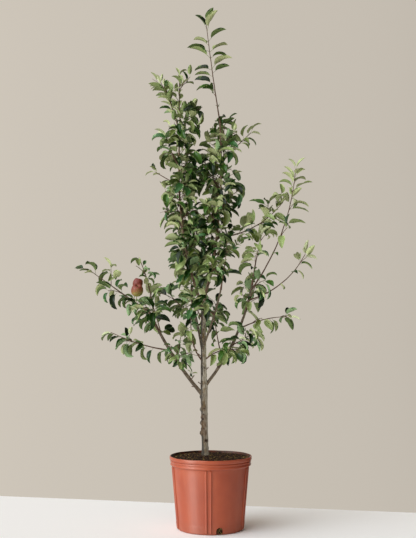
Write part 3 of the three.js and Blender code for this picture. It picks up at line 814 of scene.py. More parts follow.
# masses of foliage, by the piece that their leaves are in. Of the stem and first growth: headings,
# length, how far twigs and leaves may stray (reach), the share that is bare, how leaves rise or droop,
# and ranks where they stand in two rows. Of the finer growth: how full it is, where along a shoot it
# stops, its droop, and its limits in x. Of the leaves: size, which of the shapes, and how young.
massDefaults = dict(full=1, fineTo=1, sides=(-1, 1), leafSize=1, fresh=0.12)
massSpecs = dict(
    leaves_top=dict(
        top_shoot=dict(on="right_leader", at=1, turn=(0, 0), rise=(99, 96.5), length=0.372, reach=0.084,
            twigs=0, leaves=15, droop=(0.15, -0.25), ranks=2, full=0.2, fineTo=0.34, leafSize=1.12,
            shapes=(0, 4, 4), fresh=0.0),
        left_fan_upright=dict(on="left_leader", at=1, turn=(180, 180), rise=(86, 92), length=0.182,
            reach=0.062, twigs=1, leaves=10, droop=(0.5, -0.05), ranks=2, full=0.7, fineDroop=(1.3, 0.5),
            leafSize=0.68, shapes=(0, 4), fresh=0.75),
        left_fan_outer=dict(on="left_leader", at=0.95, turn=(186, 178), rise=(78, 62), length=0.200,
            reach=0.066, twigs=2, leaves=12, bare=0.25, droop=(0.4, -0.15), ranks=2, full=0.7,
            fineDroop=(1.2, 0.3), leafSize=0.7, shapes=(0, 4), fresh=0.65),
        upper_left_twig=dict(on="left_leader", at=0.67, turn=(178, 182), rise=(28, 32), length=0.098,
            reach=0.052, twigs=0, leaves=4, bare=0.5, droop=(0.3, -0.3), full=0.1, leafSize=0.7,
            shapes=(4, 4), fresh=0.8),
        upper_right_twig=dict(on="right_leader", at=0.77, turn=(-14, 4), rise=(46, 44), length=0.152,
            reach=0.062, twigs=0, leaves=6, bare=0.4, droop=(0.2, -0.4), full=0.1, leafSize=0.8,
            shapes=(0, 4), fresh=0.8),
        right_upper_arm=dict(on="right_leader", at=0.35, turn=(-6, -2), rise=(4, 52), length=0.272,
            reach=0.084, twigs=3, leaves=14, bare=0.2, droop=(0.1, -0.45), full=0.35, fresh=0.7),
    ),
    leaves_right=dict(
        right_bough_tip=dict(on="right_bough", at=1, turn=(-8, 0), rise=(82, 76), length=0.178, reach=0.080,
            twigs=2, leaves=11, full=0.2, fresh=0.5),
        right_long_shoot=dict(on="right_bough", at=0.95, turn=(2, 6), rise=(54, 85), length=0.462,
            reach=0.080, twigs=2, leaves=14, bare=0.45, droop=(0.3, -0.3), ranks=2, full=0.1,
            shapes=(0, 2, 4), fresh=0.9),
        right_curved_shoot=dict(on="right_bough", at=0.86, turn=(4, -2), rise=(16, 62), length=0.262,
            reach=0.066, twigs=1, leaves=7, bare=0.66, full=0.1, leafSize=0.76, shapes=(0, 4, 4),
            fresh=0.9),
        right_bough_back=dict(on="right_bough", at=0.72, turn=(82, 60), rise=(30, 62), length=0.180,
            reach=0.088, twigs=2, leaves=11, full=0.25, sides=(0, 0.18), leafSize=0.9),
        right_bough_front=dict(on="right_bough", at=0.78, turn=(-84, -60), rise=(22, 58), length=0.155,
            reach=0.084, twigs=2, leaves=11, full=0.15, sides=(0, 0.18), leafSize=0.9),
        right_low_arm=dict(on="right_bough", at=0.6, turn=(-14, -4), rise=(26, 2), length=0.172,
            reach=0.076, twigs=2, leaves=8, bare=0.15, full=0.1, leafSize=0.86, shapes=(0, 4), fresh=0.3),
        right_mid=dict(on="right_bough", at=0.44, turn=(-62, -30), rise=(12, 30), length=0.092, reach=0.072,
            twigs=1, leaves=7, full=0.8, fineDroop=(-0.3, -1.3)),
        right_inner_arm=dict(on="trunk", at=0.605, turn=(-14, -22), rise=(42, -8), length=0.136,
            reach=0.074, twigs=1, leaves=9, bare=0.45, full=1.2, fineDroop=(-0.5, -1.5)),
        right_inner_shoot=dict(on="right_bough", at=0.28, turn=(150, 170), rise=(74, 84), length=0.178,
            reach=0.066, twigs=1, leaves=6, bare=0.3, full=0.3, leafSize=0.9),
    ),
    leaves_left=dict(
        left_arm=dict(on="left_bough", at=1, turn=(186, 180), rise=(34, 36), length=0.248, reach=0.080,
            twigs=3, leaves=15, droop=(-0.2, -0.9), full=0.22, fineDroop=(0.4, -0.4), leafSize=0.9,
            fresh=0.15),
        left_shoot=dict(on="left_bough", at=0.9, turn=(160, 176), rise=(86, 66), length=0.232, reach=0.070,
            twigs=2, leaves=9, bare=0.3, full=0.2, fineDroop=(0.8, 0.2), sides=(-0.25, 1), leafSize=0.62,
            fresh=0.5),
        left_low_arm=dict(on="left_bough", at=0.57, turn=(184, 178), rise=(8, 26), length=0.215,
            reach=0.072, twigs=1, leaves=10, bare=0.12, droop=(-0.5, -1.1), full=0.3, leafSize=0.8,
            fresh=0.2),
        left_bough_inner=dict(on="left_bough", at=0.44, turn=(100, 60), rise=(20, 70), length=0.132,
            reach=0.084, twigs=1, leaves=10, full=0.3, fineDroop=(-0.2, -1), leafSize=0.88),
        left_bough_back=dict(on="left_bough", at=0.74, turn=(98, 120), rise=(26, 60), length=0.180,
            reach=0.088, twigs=2, leaves=12, full=0.3, leafSize=0.88),
        left_bough_front=dict(on="left_bough", at=0.8, turn=(-98, -120), rise=(18, 52), length=0.155,
            reach=0.086, twigs=2, leaves=12, full=0.15, leafSize=0.88),
        left_inner_shoot=dict(on="trunk", at=0.59, turn=(192, 200), rise=(-20, 98), ease=0.2, length=0.235,
            reach=0.080, twigs=1, leaves=10, bare=0.3, full=0.2, leafSize=0.9, fresh=0.3),
    ),
    leaves_middle=dict(
        trunk_front=dict(on="trunk", at=0.86, turn=(-128, -112), rise=(38, 66), length=0.096, reach=0.070,
            twigs=0, leaves=6, full=0.1, leafSize=0.86),
        front_bough_tip=dict(on="front_bough", at=1, turn=(-60, -50), rise=(70, 84), length=0.165,
            reach=0.086, twigs=2, leaves=12, full=0.3),
        front_bough_side=dict(on="front_bough", at=0.6, turn=(-130, -120), rise=(22, 48), length=0.135,
            reach=0.080, twigs=2, leaves=10, full=0.15, leafSize=0.9),
        back_bough_tip=dict(on="back_bough", at=1, turn=(112, 104), rise=(72, 84), length=0.175,
            reach=0.088, twigs=2, leaves=12),
        back_bough_left=dict(on="back_bough", at=0.72, turn=(158, 144), rise=(20, 52), length=0.145,
            reach=0.082, twigs=2, leaves=10, full=0.5, leafSize=0.9),
        back_bough_right=dict(on="back_bough", at=0.55, turn=(52, 66), rise=(16, 48), length=0.155,
            reach=0.084, twigs=2, leaves=10, full=0.5, leafSize=0.9),
    ),
)

# rings of masses up each leader, the first one lowest; sides are by the mass's number
columns = [
    dict(name="left_column", on="left_leader", span=(0.17, 0.9), firstTurn=205,
         full=(1, 1.4, 0.6, 0.45, 1.5, 0.25, 0.7), sides={3: (-0.166, 1), 4: (-0.166, 1), 6: (-0.16, 1)}),
    dict(name="right_column", on="right_leader", span=(0.12, 0.85), firstTurn=-40,
         full=(0.6, 1, 1.5, 0.35, 1.5, 0.5, 0.3), sides={4: (-1, 0.09)}),
]
columnShoot = dict(rise=(54, 82), length=0.104, reach=0.080, twigs=2, leaves=18)

twig = dict(
    length=0.062, taper=(1.2, 0.6), vary=(0.8, 1.2), angle=(48, 62), spinVary=40, lift=0.25,
    first=0.12, last=0.88, bare=0.25, arch=0.07,
)
leaf = dict(
    length=0.073, vary=(0.8, 1.15), width=0.5, widest=0.47, tipShorten=0.15, fold=0.22, bend=34,
    angle=(62, 28), angleVary=20, droop=(-0.25, -0.7), tipLift=0.45, roll=92, spacing=0.011,
    rankVary=70, youngFrom=0.6,
)
growth = dict(
    stemStride=0.058, clearOfLimb=0.0065, clearOfMass=0.0036, triesPerLeaf=24, firstSeed=106, lastFifth=0.8,
)

# finer growth between the first leaves: side twigs on the shoots, leaves in turn along both, and a
# tuft at each tip
fine = dict(
    twigStep=0.030, twigLength=(0.022, 0.058), twigAngle=(40, 66), twigSpin=60, twigLift=0.35,
    twigFrom=0.08, twigBare=0.8, bow=0.08, arch=0.05, bare=0.3,
    leafStep=0.0130, leafShare=(0.6, 0.98), leafAngle=(72, 44), angleVary=26, droop=(0.2, -0.8), roll=120,
    leafBare=0.5, leafFull=1.3, otherTurns=(0, 47, -52), spacing=0.0056, clearOfLimb=0.002,
    tuft=(3, 5), tuftAngle=(14, 50), tuftShare=(0.46, 0.8), tuftYoung=0.7,
    leaderFrom=0.1, boughFrom=0.55, limbStep=0.012, limbTwig=(0.02, 0.080), limbAngle=(50, 80),
    limbSpin=50, limbFull=0.3, limbSeed=77, seedStep=5000,
    inward=dict(left_leader=0, right_leader=180), inwardSpan=(0.40, 0.84), inwardStep=0.012,
    inwardTwig=(0.03, 0.064), inwardVary=90, inwardRise=(10, 50),
)


def allMassSpecs():
    specs = [dict(massDefaults, name=name, region=region, **values)
             for region, group in massSpecs.items() for name, values in group.items()]
    for column in columns:
        for i, full in enumerate(column["full"]):
            turn = column["firstTurn"] + i * goldenTurn
            spec = dict(massDefaults, **columnShoot, name=f"{column['name']}_{i + 1}", on=column["on"],
                        at=mix(column["span"], i / (len(column["full"]) - 1)), turn=(turn, turn + 12))
            spec.update(region="leaves_" + column["name"], full=full)
            specs.append(dict(spec, sides=column["sides"].get(i + 1, spec["sides"])))
    return specs


# the straight pieces of many paths, for the distance from a point to each path
class Paths:
    def __init__(self, paths):
        self.starts = np.concatenate([path[:-1] for path in paths])
        self.ways = np.concatenate([path[1:] - path[:-1] for path in paths])
        self.squares = (self.ways ** 2).sum(axis=1)
        self.firsts = np.cumsum([0] + [len(path) - 1 for path in paths[:-1]])

    def distances(self, spots):
        away = spots[:, None, :] - self.starts[None]
        share = np.clip((away * self.ways).sum(axis=2) / self.squares, 0, 1)
        gaps = away - share[..., None] * self.ways
        return np.minimum.reduceat(np.sqrt((gaps ** 2).sum(axis=2)), self.firsts, axis=1)


masses = []


def layMasses():
    for spec in allMassSpecs():
        steps = max(2, math.ceil(spec["length"] / growth["stemStride"]))
        line = limbLine(startOn(limbs[spec["on"]], spec["at"]), spec, steps)
        stem = dict(line=line, steps=steps, bare=spec.get("bare", twig["first"]), kind="stem")
        masses.append(dict(spec=spec, line=line, points=line.spaced(steps * 2), shoots=[stem], leaves=[],
                           samples=np.zeros((0, 3))))


layMasses()
massNamed = {mass["spec"]["name"]: mass for mass in masses}
massPaths = Paths([mass["points"] for mass in masses])
limbPaths = Paths([limb["points"] for limb in limbs.values()])
reaches = np.array([mass["spec"]["reach"] for mass in masses])
limbRadii = np.array([limb["radiusAt"](0.5) for limb in limbs.values()])


# true where all points are inside their mass's reach, nearer to its stem than to any other by the
# measure of their reaches, and clear of every limb
def inOwnSpace(spots, index):
    shares = massPaths.distances(spots) / reaches
    own = shares[:, index]
    if (own > 1).any() or (spots[:, 2] < pot["height"]).any():
        return False
    between = reaches[index] * reaches / (reaches[index] + reaches)
    room = (shares - own[:, None]) * between
    room[:, index] = 1
    if (room < growth["clearOfMass"]).any():
        return False
    return bool((limbPaths.distances(spots) > limbRadii + growth["clearOfLimb"]).all())


# a direction that leaves a shoot at an angle, on the side that spin picks
def sideways(tangent, spin, angle):
    across = np.cross(tangent, upward)
    across = np.array([1.0, 0, 0]) if across @ across < 1e-4 else unit(across)
    across = turnedAbout(across, tangent, spin)
    lean = math.radians(angle)
    return tangent * math.cos(lean) + across * math.sin(lean)


def growTwigs(mass, index, random):
    spec, line = mass["spec"], mass["line"]
    bare = spec.get("bare", twig["first"])
    for i in range(spec["twigs"]):
        at = mix((bare, twig["last"]), (i + random()) / spec["twigs"])
        spin = i * goldenTurn + twig["spinVary"] * random()
        length = twig["length"] * mix(twig["taper"], at) * mix(twig["vary"], random())
        start = line.pointAt(at)
        direction = sideways(line.tangentAt(at), spin, mix(twig["angle"], random()))
        direction = unit(direction + upward * twig["lift"])
        if inOwnSpace(np.array([start + direction * length / 2, start + direction * length]), index):
            # the finer twig keeps the foot and the tip of the plain one, and arches between them
            arch = upward * length * twig["arch"]
            way = Line([start, start + direction * length / 2 + arch, start + direction * length])
            plain = Line([start, start + direction * length])
            mass["shoots"].append(dict(line=plain, shown=way, bare=twig["bare"], kind="twig"))


def leafFrame(direction, roll):
    side = unit(np.cross(direction, upward))
    return turnedAbout(unit(np.cross(side, direction)), direction, roll)


# points spread over a leaf's outer part: tip, edges, midrib and half way between them
def leafSamples(root, direction, normal, length):
    across = unit(np.cross(normal, direction))
    middle = root + direction * length * leaf["widest"]
    tip = middle + turnedAbout(direction, across, leaf["bend"]) * length * (1 - leaf["widest"])
    half = length * leaf["width"] / 2
    raised = normal * half * leaf["fold"] * 2
    left, right = middle + across * half + raised, middle - across * half + raised
    return np.array([tip, left, right, middle, (middle + tip) / 2, (left + tip) / 2, (right + tip) / 2,
                     (root + left) / 2, (root + right) / 2])


def leafFits(samples, mass, index):
    if len(mass["samples"]):
        apart = np.linalg.norm(mass["samples"][None] - samples[:, None], axis=2)
        if apart.min() < leaf["spacing"]:
            return False
    return inOwnSpace(samples, index)


def growLeaves(mass, index, random):
    spec, shoots = mass["spec"], list(mass["shoots"])
    tries = spec["leaves"] * growth["triesPerLeaf"]
    lastFifth, ranks = growth["lastFifth"], spec.get("ranks")
    droop = spec.get("droop", leaf["droop"])
    for i in range(tries):
        if len(mass["leaves"]) >= spec["leaves"]:
            break
        shoot = shoots[i % len(shoots)]
        at = mix((shoot["bare"], 1), math.sqrt(random()))
        nearTip = max(0, (at - lastFifth) / (1 - lastFifth))
        angle = mix(leaf["angle"], nearTip) + leaf["angleVary"] * (random() - 0.5)
        inRank = 90 + i * 360 / (ranks or 1) + leaf["rankVary"] * (random() - 0.5)
        direction = sideways(shoot["line"].tangentAt(at), inRank if ranks else i * goldenTurn, angle)
        direction = unit(direction + upward * (mix(droop, random()) + leaf["tipLift"] * nearTip))
        normal = leafFrame(direction, leaf["roll"] * (random() - 0.5))
        length = leaf["length"] * mix(leaf["vary"], random()) * (1 - leaf["tipShorten"] * nearTip)
        root = shoot["line"].pointAt(at)
        samples = leafSamples(root, direction, normal, length)
        if leafFits(samples, mass, index):
            mass["samples"] = np.concatenate([mass["samples"], samples])
            shown = length * spec["leafSize"]
            mass["leaves"].append(dict(root=root, direction=direction, normal=normal, length=shown,
                                       young=nearTip > leaf["youngFrom"]))
            crowd.add(leafSamples(root, direction, normal, shown))


# true where finer growth stays inside its mass's reach, above the pot and clear of every limb
def inReach(spots, index):
    if (spots[:, 2] < pot["height"]).any() or (massPaths.distances(spots)[:, index] > reaches[index]).any():
        return False
    return bool((limbPaths.distances(spots) > limbRadii + fine["clearOfLimb"]).all())


# the spots that leaves already fill, kept by the cell of space they are in
class Crowd:
    def __init__(self, spacing):
        self.spacing, self.cells = spacing, {}

    def cellOf(self, spot):
        return tuple(int(math.floor(value / self.spacing)) for value in spot)

    def add(self, spots):
        for spot in spots.tolist():
            self.cells.setdefault(self.cellOf(spot), []).append(spot)

    def near(self, spots):
        limit = self.spacing ** 2
        for x, y, z in spots.tolist():
            i, j, k = self.cellOf((x, y, z))
            for cell in ((i + a, j + b, k + c) for a in (-1, 0, 1) for b in (-1, 0, 1) for c in (-1, 0, 1)):
                for u, v, w in self.cells.get(cell, ()):
                    if (u - x) ** 2 + (v - y) ** 2 + (w - z) ** 2 < limit:
                        return True
        return False


crowd = Crowd(fine["spacing"])


def addTwig(mass, index, start, way, length):
    end = start + way * length
    if not inReach(end[None], index):
        return
    bow = np.cross(way, upward) * length * fine["bow"] + upward * length * fine["arch"]
    line = Line([start, start + way * length / 2 + bow, end])
    mass["shoots"].append(dict(line=line, bare=fine["bare"], kind="fine"))


# side twigs straight from the leaders and boughs, each in the mass whose space it reaches
def growLimbTwigs(random):
    for name, limb in limbs.items():
        if name == "trunk":
            continue
        line = limb["line"]
        first = fine["leaderFrom"] if name.endswith("leader") else fine["boughFrom"]
        count = round(line.length * (1 - first) / fine["limbStep"])
        for i in range(count):
            at = mix((first, 1), (i + random()) / count)
            spin = i * goldenTurn + fine["limbSpin"] * random()
            way = sideways(line.tangentAt(at), spin, mix(fine["limbAngle"], random()))
            way = unit(way + upward * fine["twigLift"])
            start = line.pointAt(at)
            length = mix(fine["limbTwig"], random()) + limb["radiusAt"](at)
            shares = (massPaths.distances((start + way * length)[None]) / reaches)[0]
            index = int(shares.argmin())
            if masses[index]["spec"]["full"] > fine["limbFull"]:
                addTwig(masses[index], index, start, way, length)
    # and twigs from each leader towards the other, where their crowns meet
    for name, turn in fine["inward"].items():
        line = limbs[name]["line"]
        first, last = fine["inwardSpan"]
        count = round(line.length * (last - first) / fine["inwardStep"])
        for i in range(count):
            start = line.pointAt(mix((first, last), (i + random()) / count))
            way = heading(turn + fine["inwardVary"] * (random() - 0.5), mix(fine["inwardRise"], random()))
            length = mix(fine["inwardTwig"], random())
            index = int((massPaths.distances((start + way * length)[None]) / reaches)[0].argmin())
            addTwig(masses[index], index, start, way, length)


def growFineTwigs(mass, index, random):
    for shoot in list(mass["shoots"]):
        line = shoot.get("shown", shoot["line"])
        if shoot["kind"] == "fine":
            continue
        first = max(fine["twigFrom"], shoot["bare"] * fine["twigBare"])
        last = mass["spec"]["fineTo"]
        count = round(line.length * (last - first) / fine["twigStep"] * mass["spec"]["full"])
        for i in range(count):
            at = mix((first, last), (i + random()) / count)
            spin = i * goldenTurn + fine["twigSpin"] * random()
            way = sideways(line.tangentAt(at), spin, mix(fine["twigAngle"], random()))
            way = unit(way + upward * fine["twigLift"])
            addTwig(mass, index, line.pointAt(at), way, mix(fine["twigLength"], random()))


def tryLeaf(mass, index, root, direction, roll, length, **grown):
    normal = leafFrame(direction, roll)
    samples = leafSamples(root, direction, normal, length)
    low, high = mass["spec"]["sides"]
    if samples[:, 0].min() < low or samples[:, 0].max() > high:
        return False
    if not inReach(samples, index) or crowd.near(samples):
        return False
    crowd.add(samples)
    mass["leaves"].append(dict(grown, root=root, direction=direction, normal=normal, length=length))
    return True


def growFineLeaves(mass, index, random):
    spec = mass["spec"]
    droop = spec.get("fineDroop", spec.get("droop", fine["droop"]))
    for shoot in mass["shoots"]:
        line = shoot.get("shown", shoot["line"])
        tone = random()
        first, last = shoot["bare"] * fine["leafBare"], spec["fineTo"]
        leafy = min(1, spec["full"] * fine["leafFull"])
        count = round(line.length * (last - first) / fine["leafStep"] * leafy)
        for i in range(count):
            at = mix((first, last), (i + 0.3 + 0.5 * random()) / count)
            angle = mix(fine["leafAngle"], at) + fine["angleVary"] * (random() - 0.5)
            tangent, root = line.tangentAt(at), line.pointAt(at)
            size = leaf["length"] * mix(fine["leafShare"], random())
            for turn in fine["otherTurns"]:
                direction = sideways(tangent, i * goldenTurn + turn, angle)
                direction = unit(direction + upward * mix(droop, random()))
                roll = fine["roll"] * (random() - 0.5)
                if tryLeaf(mass, index, root, direction, roll, size, tone=tone, young=False):
                    break
        tuft = round(mix(fine["tuft"], random()))
        for i in range(tuft):
            spin = i * goldenTurn + 360 * random()
            direction = sideways(line.tangentAt(1), spin, mix(fine["tuftAngle"], random()))
            size = leaf["length"] * mix(fine["tuftShare"], random())
            tryLeaf(mass, index, line.pointAt(1), direction, fine["roll"] * (random() - 0.5), size,
                    tone=tone, young=random() < fine["tuftYoung"])


for index, mass in enumerate(masses):
    random = seededRandom(growth["firstSeed"] + index * 17)
    growTwigs(mass, index, random)
    growLeaves(mass, index, random)
    mass["firstLeaves"] = len(mass["leaves"])
growLimbTwigs(seededRandom(fine["limbSeed"]))
for index, mass in enumerate(masses):
    random = seededRandom(growth["firstSeed"] + index * 17 + fine["seedStep"])
    growFineTwigs(mass, index, random)
    growFineLeaves(mass, index, random)
firstLeaves = sum(mass["firstLeaves"] for mass in masses)
print("leaves:", firstLeaves, "first,", sum(len(mass["leaves"]) for mass in masses), "in all")


# stems, twigs and spurs as one joined piece
wood = dict(
    stemFoot=0.0029, stemTip=0.0011, twigRadii=(0.0015, 0.0009), fineRadii=(0.0012, 0.0008),
    stemSides=7, twigSides=5, fineSides=4, ring=0.011, zigzag=0.0007, uneven=0.16,
    carriedOn=0.97, collar=0.0012, collarLength=0.012, seed=7,
    spurShares=(0, 0.4, 0.7, 0.88, 1), spurRadii=(0.0026, 0.0019, 0.0016, 0.0021, 0.0012),
    spurSides=7, spurRise=0.003,
)


# rings of a tube along places, closed at both ends, as one small shape
def tubeShape(places, radii, sides):
    rings = []
    side = np.array([0.3, 0.5, 0.81])
    for i, place in enumerate(places):
        way = unit(places[min(i + 1, len(places) - 1)] - places[max(i - 1, 0)])
        side = unit(side - way * (side @ way))
        other = np.cross(way, side)
        turns = np.arange(sides) / sides * math.tau
        rings.append(place + radii[i] * (np.cos(turns)[:, None] * side + np.sin(turns)[:, None] * other))
    faces = []
    for i in range(len(places) - 1):
        for k in range(sides):
            nextK = (k + 1) % sides
            faces.append([i * sides + k, i * sides + nextK, (i + 1) * sides + nextK, (i + 1) * sides + k])
    faces.append(list(range(sides))[::-1])
    faces.append([(len(places) - 1) * sides + k for k in range(sides)])
    return np.concatenate(rings), faces


# spurs and stubs: limb, share along it, heading, rise and length
spurs = [
    ("trunk", 0.445, 192, 24, 0.012), ("trunk", 0.62, 212, 30, 0.016), ("trunk", 0.53, -40, 36, 0.016),
    ("left_bough", 0.13, 176, -10, 0.008), ("left_bough", 0.21, -38, 42, 0.016), ("left_bough", 0.33, 186, 24, 0.011),
    ("right_bough", 0.20, -96, 38, 0.022), ("right_bough", 0.33, 92, 50, 0.026), ("left_bough", 0.46, 80, 36, 0.022),
    ("left_leader", 0.09, 200, 20, 0.018), ("right_leader", 0.08, -60, 30, 0.018), ("back_bough", 0.3, 30, 30, 0.02),
]
# spurs that carry leaves, as above, then the leaves' number, size, spread in degrees and droop
sprigs = [
    ("left_bough", 0.235, -48, 52, 0.012, 4, 0.021, 62, -0.1),
    ("left_bough", 0.39, -34, 30, 0.016, 3, 0.043, 50, -0.9),
    ("left_bough", 0.44, -75, 20, 0.014, 3, 0.042, 58, -0.9),
    ("left_bough", 0.51, -100, 15, 0.012, 4, 0.04, 66, -0.7),
    ("left_bough", 0.58, -60, 30, 0.014, 3, 0.038, 60, -0.5),
]
sprigMass = "left_inner_shoot"  # the mass that these leaves are counted to
# leaves that start where an apple does: where along the left arm's stem, which way and how long
appleLeaves = [
    (0.23, (-0.85, -0.35, 0.42), 0.052), (0.25, (-0.62, -0.5, 0.2), 0.044), (0.24, (0.9, -0.3, 0.12), 0.05),
    (0.22, (0.72, -0.4, 0.62), 0.046), (0.29, (-0.7, 0.1, 0.85), 0.042), (0.28, (0.1, -0.8, -0.35), 0.046),
]


# a leaf that is placed without a test of the space round it
def addLeaf(root, direction, length, tones, random, vary=None):
    normal = leafFrame(direction, fine["roll"] * (random() - 0.5))
    size = length * mix(vary, random()) if vary else length
    massNamed[sprigMass]["leaves"].append(dict(
        root=root, direction=direction, normal=normal, length=size, tone=mix(tones, random()), young=False))


def growSprigs(random):
    for name, at, turn, rise, length, count, size, spread, droop in sprigs:
        limb = limbs[name]
        way = heading(turn, rise)
        tip = limb["line"].pointAt(at) + way * (limb["radiusAt"](at) + length)
        for i in range(count):
            direction = unit(sideways(way, i * goldenTurn + 40 * random(), spread) + upward * droop)
            addLeaf(tip, direction, size, (0.2, 0.6), random, vary=(0.8, 1.2))
    line = massNamed["left_arm"]["line"]
    for at, way, size in appleLeaves:
        addLeaf(line.pointAt(at), unit(np.array(way)), size, (0.1, 0.4), random)


growSprigs(seededRandom(fine["limbSeed"] + 5))


def makeTwigs():
    # the vector noise takes its offsets from the clock unless it is seeded
    noise.seed_set(wood["seed"])
    heap = Heap()
    for name, at, turn, rise, length in spurs + [sprig[:5] for sprig in sprigs]:
        limb = limbs[name]
        root, way = limb["line"].pointAt(at), heading(turn, rise)
        reach, lift = limb["radiusAt"](at) + length, upward * wood["spurRise"]
        places = [root + way * reach * share + lift * share ** 2 for share in wood["spurShares"]]
        heap.tube(places, wood["spurRadii"], wood["spurSides"], 0)
    for mass in masses:
        carrier = limbs[mass["spec"]["on"]]
        for shoot in mass["shoots"]:
            line = shoot.get("shown", shoot["line"])
            rings = max(4, round(line.length / wood["ring"]))
            shares = np.arange(rings + 1) / rings
            places = np.array([line.pointAt(share) for share in shares])
            if shoot["kind"] == "stem":
                foot = wood["stemFoot"]
                if mass["spec"]["at"] == 1:
                    foot = carrier["radiusAt"](1) * wood["carriedOn"]
                radii = foot + (wood["stemTip"] - foot) * shares ** 0.8
                radii += wood["collar"] * np.exp(-(shares * line.length / wood["collarLength"]) ** 2)
                sides, tone = wood["stemSides"], 0 if foot > 0.0035 else 1
            else:
                radii = mix(wood[shoot["kind"] + "Radii"], shares)
                sides, tone = wood[shoot["kind"] + "Sides"], 1
            for i in range(1, rings + 1):
                spot = Vector(places[i] * 40)
                places[i] += np.array(noise.noise_vector(spot)) * wood["zigzag"]
                radii[i] *= 1 + wood["uneven"] * noise.noise(spot * 3)
            heap.tube(places, radii, sides, tone)
    twigs = joinedPiece("twigs", heap.places, heap.faces, heap.numbers, [
        Finish("old_twig_bark", "6b5a4b", 0.75, Specular_IOR_Level=0.3).material,
        Finish("young_twig_bark", "5e4535", 0.6, Specular_IOR_Level=0.35).material,
    ])
    smoothBy(twigs, 70)
    finishPiece(twigs)


makeTwigs()


# a leaf of length 1 along +X with its upper side to +Z: stalk, then a folded blade that bends down
def modelLeaf(fold, start, end, wave, twist, wide):
    bpy.ops.mesh.primitive_grid_add(x_subdivisions=7, y_subdivisions=4, size=1)
    blade = startPiece("leaf_blade")
    flat = positions(blade)
    faces = [list(face.vertices) for face in blade.data.polygons]
    bpy.data.objects.remove(blade)
    alongAt = np.array([0, 0.07, 0.2, 0.36, 0.54, 0.72, 0.88, 1])
    widthAt = np.array([0.03, 0.46, 0.85, 1, 0.94, 0.7, 0.36, 0.0])
    stalk = leafShape["stalk"]
    steps = np.linspace(0, 1, 101)
    angles = np.radians(start + (end - start) * steps ** 1.15)
    xs = np.concatenate([[0], np.cumsum(np.cos(angles[:-1])) / 100])
    zs = np.concatenate([[0], np.cumsum(np.sin(angles[:-1])) / 100])

    def lift(along, across, sink=0.0):
        # from the place on the flat leaf to the place on the bent one
        angle = np.interp(along, steps, angles)
        side = abs(across) / (leafShape["width"] * wide / 2)
        blade = max(0.0, (along - stalk) / (1 - stalk))
        rise = abs(across) * math.tan(math.radians(fold)) * (1 - 0.35 * side)
        rise += wave * side ** 2 * math.sin(blade * 9.5 + (1.3 if across > 0 else 0)) - sink
        turned = math.radians(twist) * blade
        y = across * math.cos(turned) - rise * math.sin(turned)
        z = across * math.sin(turned) + rise * math.cos(turned)
        x, up = np.interp(along, steps, xs), np.interp(along, steps, zs)
        return [x - z * math.sin(angle), y, up + z * math.cos(angle)]

    columnOf = np.round((flat[:, 0] + 0.5) * 7).astype(int)
    rowOf = np.round((flat[:, 1] + 0.5) * 4).astype(int) - 2
    half = leafShape["width"] * wide / 2
    upper = [(stalk + (1 - stalk) * alongAt[c], half * widthAt[c] * r / 2) for c, r in zip(columnOf, rowOf)]
    rim = np.array([abs(r) == 2 or c in (0, 7) for c, r in zip(columnOf, rowOf)])
    places = [lift(*spot) for spot in upper]
    # the underside shares the rim and lies a leaf's thickness lower inside it
    under = {}
    for i, spot in enumerate(upper):
        if not rim[i]:
            under[i] = len(places)
            places.append(lift(*spot, sink=leafShape["thickness"]))
    faces = faces + [[under.get(i, i) for i in face[::-1]] for face in faces]
    kinds = [0] * (len(faces) // 2) + [1] * (len(faces) // 2)
    stalkAlong = np.linspace(0, stalk + 0.03, 4)
    stalkPlaces = np.array([lift(along, 0.0, sink=leafShape["stalkRadius"]) for along in stalkAlong])
    tube, tubeFaces = tubeShape(stalkPlaces, [leafShape["stalkRadius"] * s for s in (1.5, 1, 1, 0.8)], 3)
    faces += [[i + len(places) for i in face] for face in tubeFaces]
    kinds += [2] * len(tubeFaces)
    corners = np.concatenate([np.array(places), tube])
    rims = np.zeros(len(corners), bool)
    rims[:len(rim)] = rim
    return mergedTip(corners, faces, kinds, rims)


# the corners that fall together at the tip are made one, and empty faces are dropped
def mergedTip(corners, faces, kinds, rims):
    keys = {}
    same = [keys.setdefault(tuple(np.round(corner, 5)), i) for i, corner in enumerate(corners)]
    kept = sorted(set(same))
    number = {old: new for new, old in enumerate(kept)}
    newFaces, newKinds = [], []
    for face, kind in zip(faces, kinds):
        ring = []
        for i in face:
            if number[same[i]] not in ring:
                ring.append(number[same[i]])
        if len(ring) > 2:
            newFaces.append(ring)
            newKinds.append(kind)
    return corners[kept], newFaces, np.array(newKinds), rims[kept]


leafShape = dict(stalk=0.2, width=0.38, thickness=0.006, stalkRadius=0.0085)
leafKinds = [
    dict(fold=40, start=18, end=-64, wave=0.012, twist=12, wide=0.96),
    dict(fold=52, start=26, end=-84, wave=0.018, twist=-20, wide=0.94),
    dict(fold=26, start=8, end=-40, wave=0.022, twist=22, wide=1.16),
    dict(fold=58, start=30, end=-96, wave=0.010, twist=30, wide=0.92),
    dict(fold=46, start=14, end=-28, wave=0.016, twist=-26, wide=0.94),
]
youngKinds = [
    dict(fold=44, start=10, end=-30, wave=0.010, twist=10, wide=0.72),
    dict(fold=56, start=4, end=-56, wave=0.014, twist=-12, wide=0.66),
]
# upper side, underside and stalk of each tone of leaf, from deep shade green to the young tips, and
# the cooler green of the inner and lower growth
leafTones = [
    ("deep", "0c2204", "5f7440", "5f6d38"),
    ("dark", "1b3a0b", "748852", "6d7a44"),
    ("mid", "3b5f1f", "93a36a", "7b8750"),
    ("olive", "68773a", "a7b180", "868e58"),
    ("light", "92a466", "c2ca94", "9aa468"),
    ("young", "b0bd80", "cdd5a8", "a9b07a"),
    ("cool", "345f2d", "8ca977", "73864f"),
]
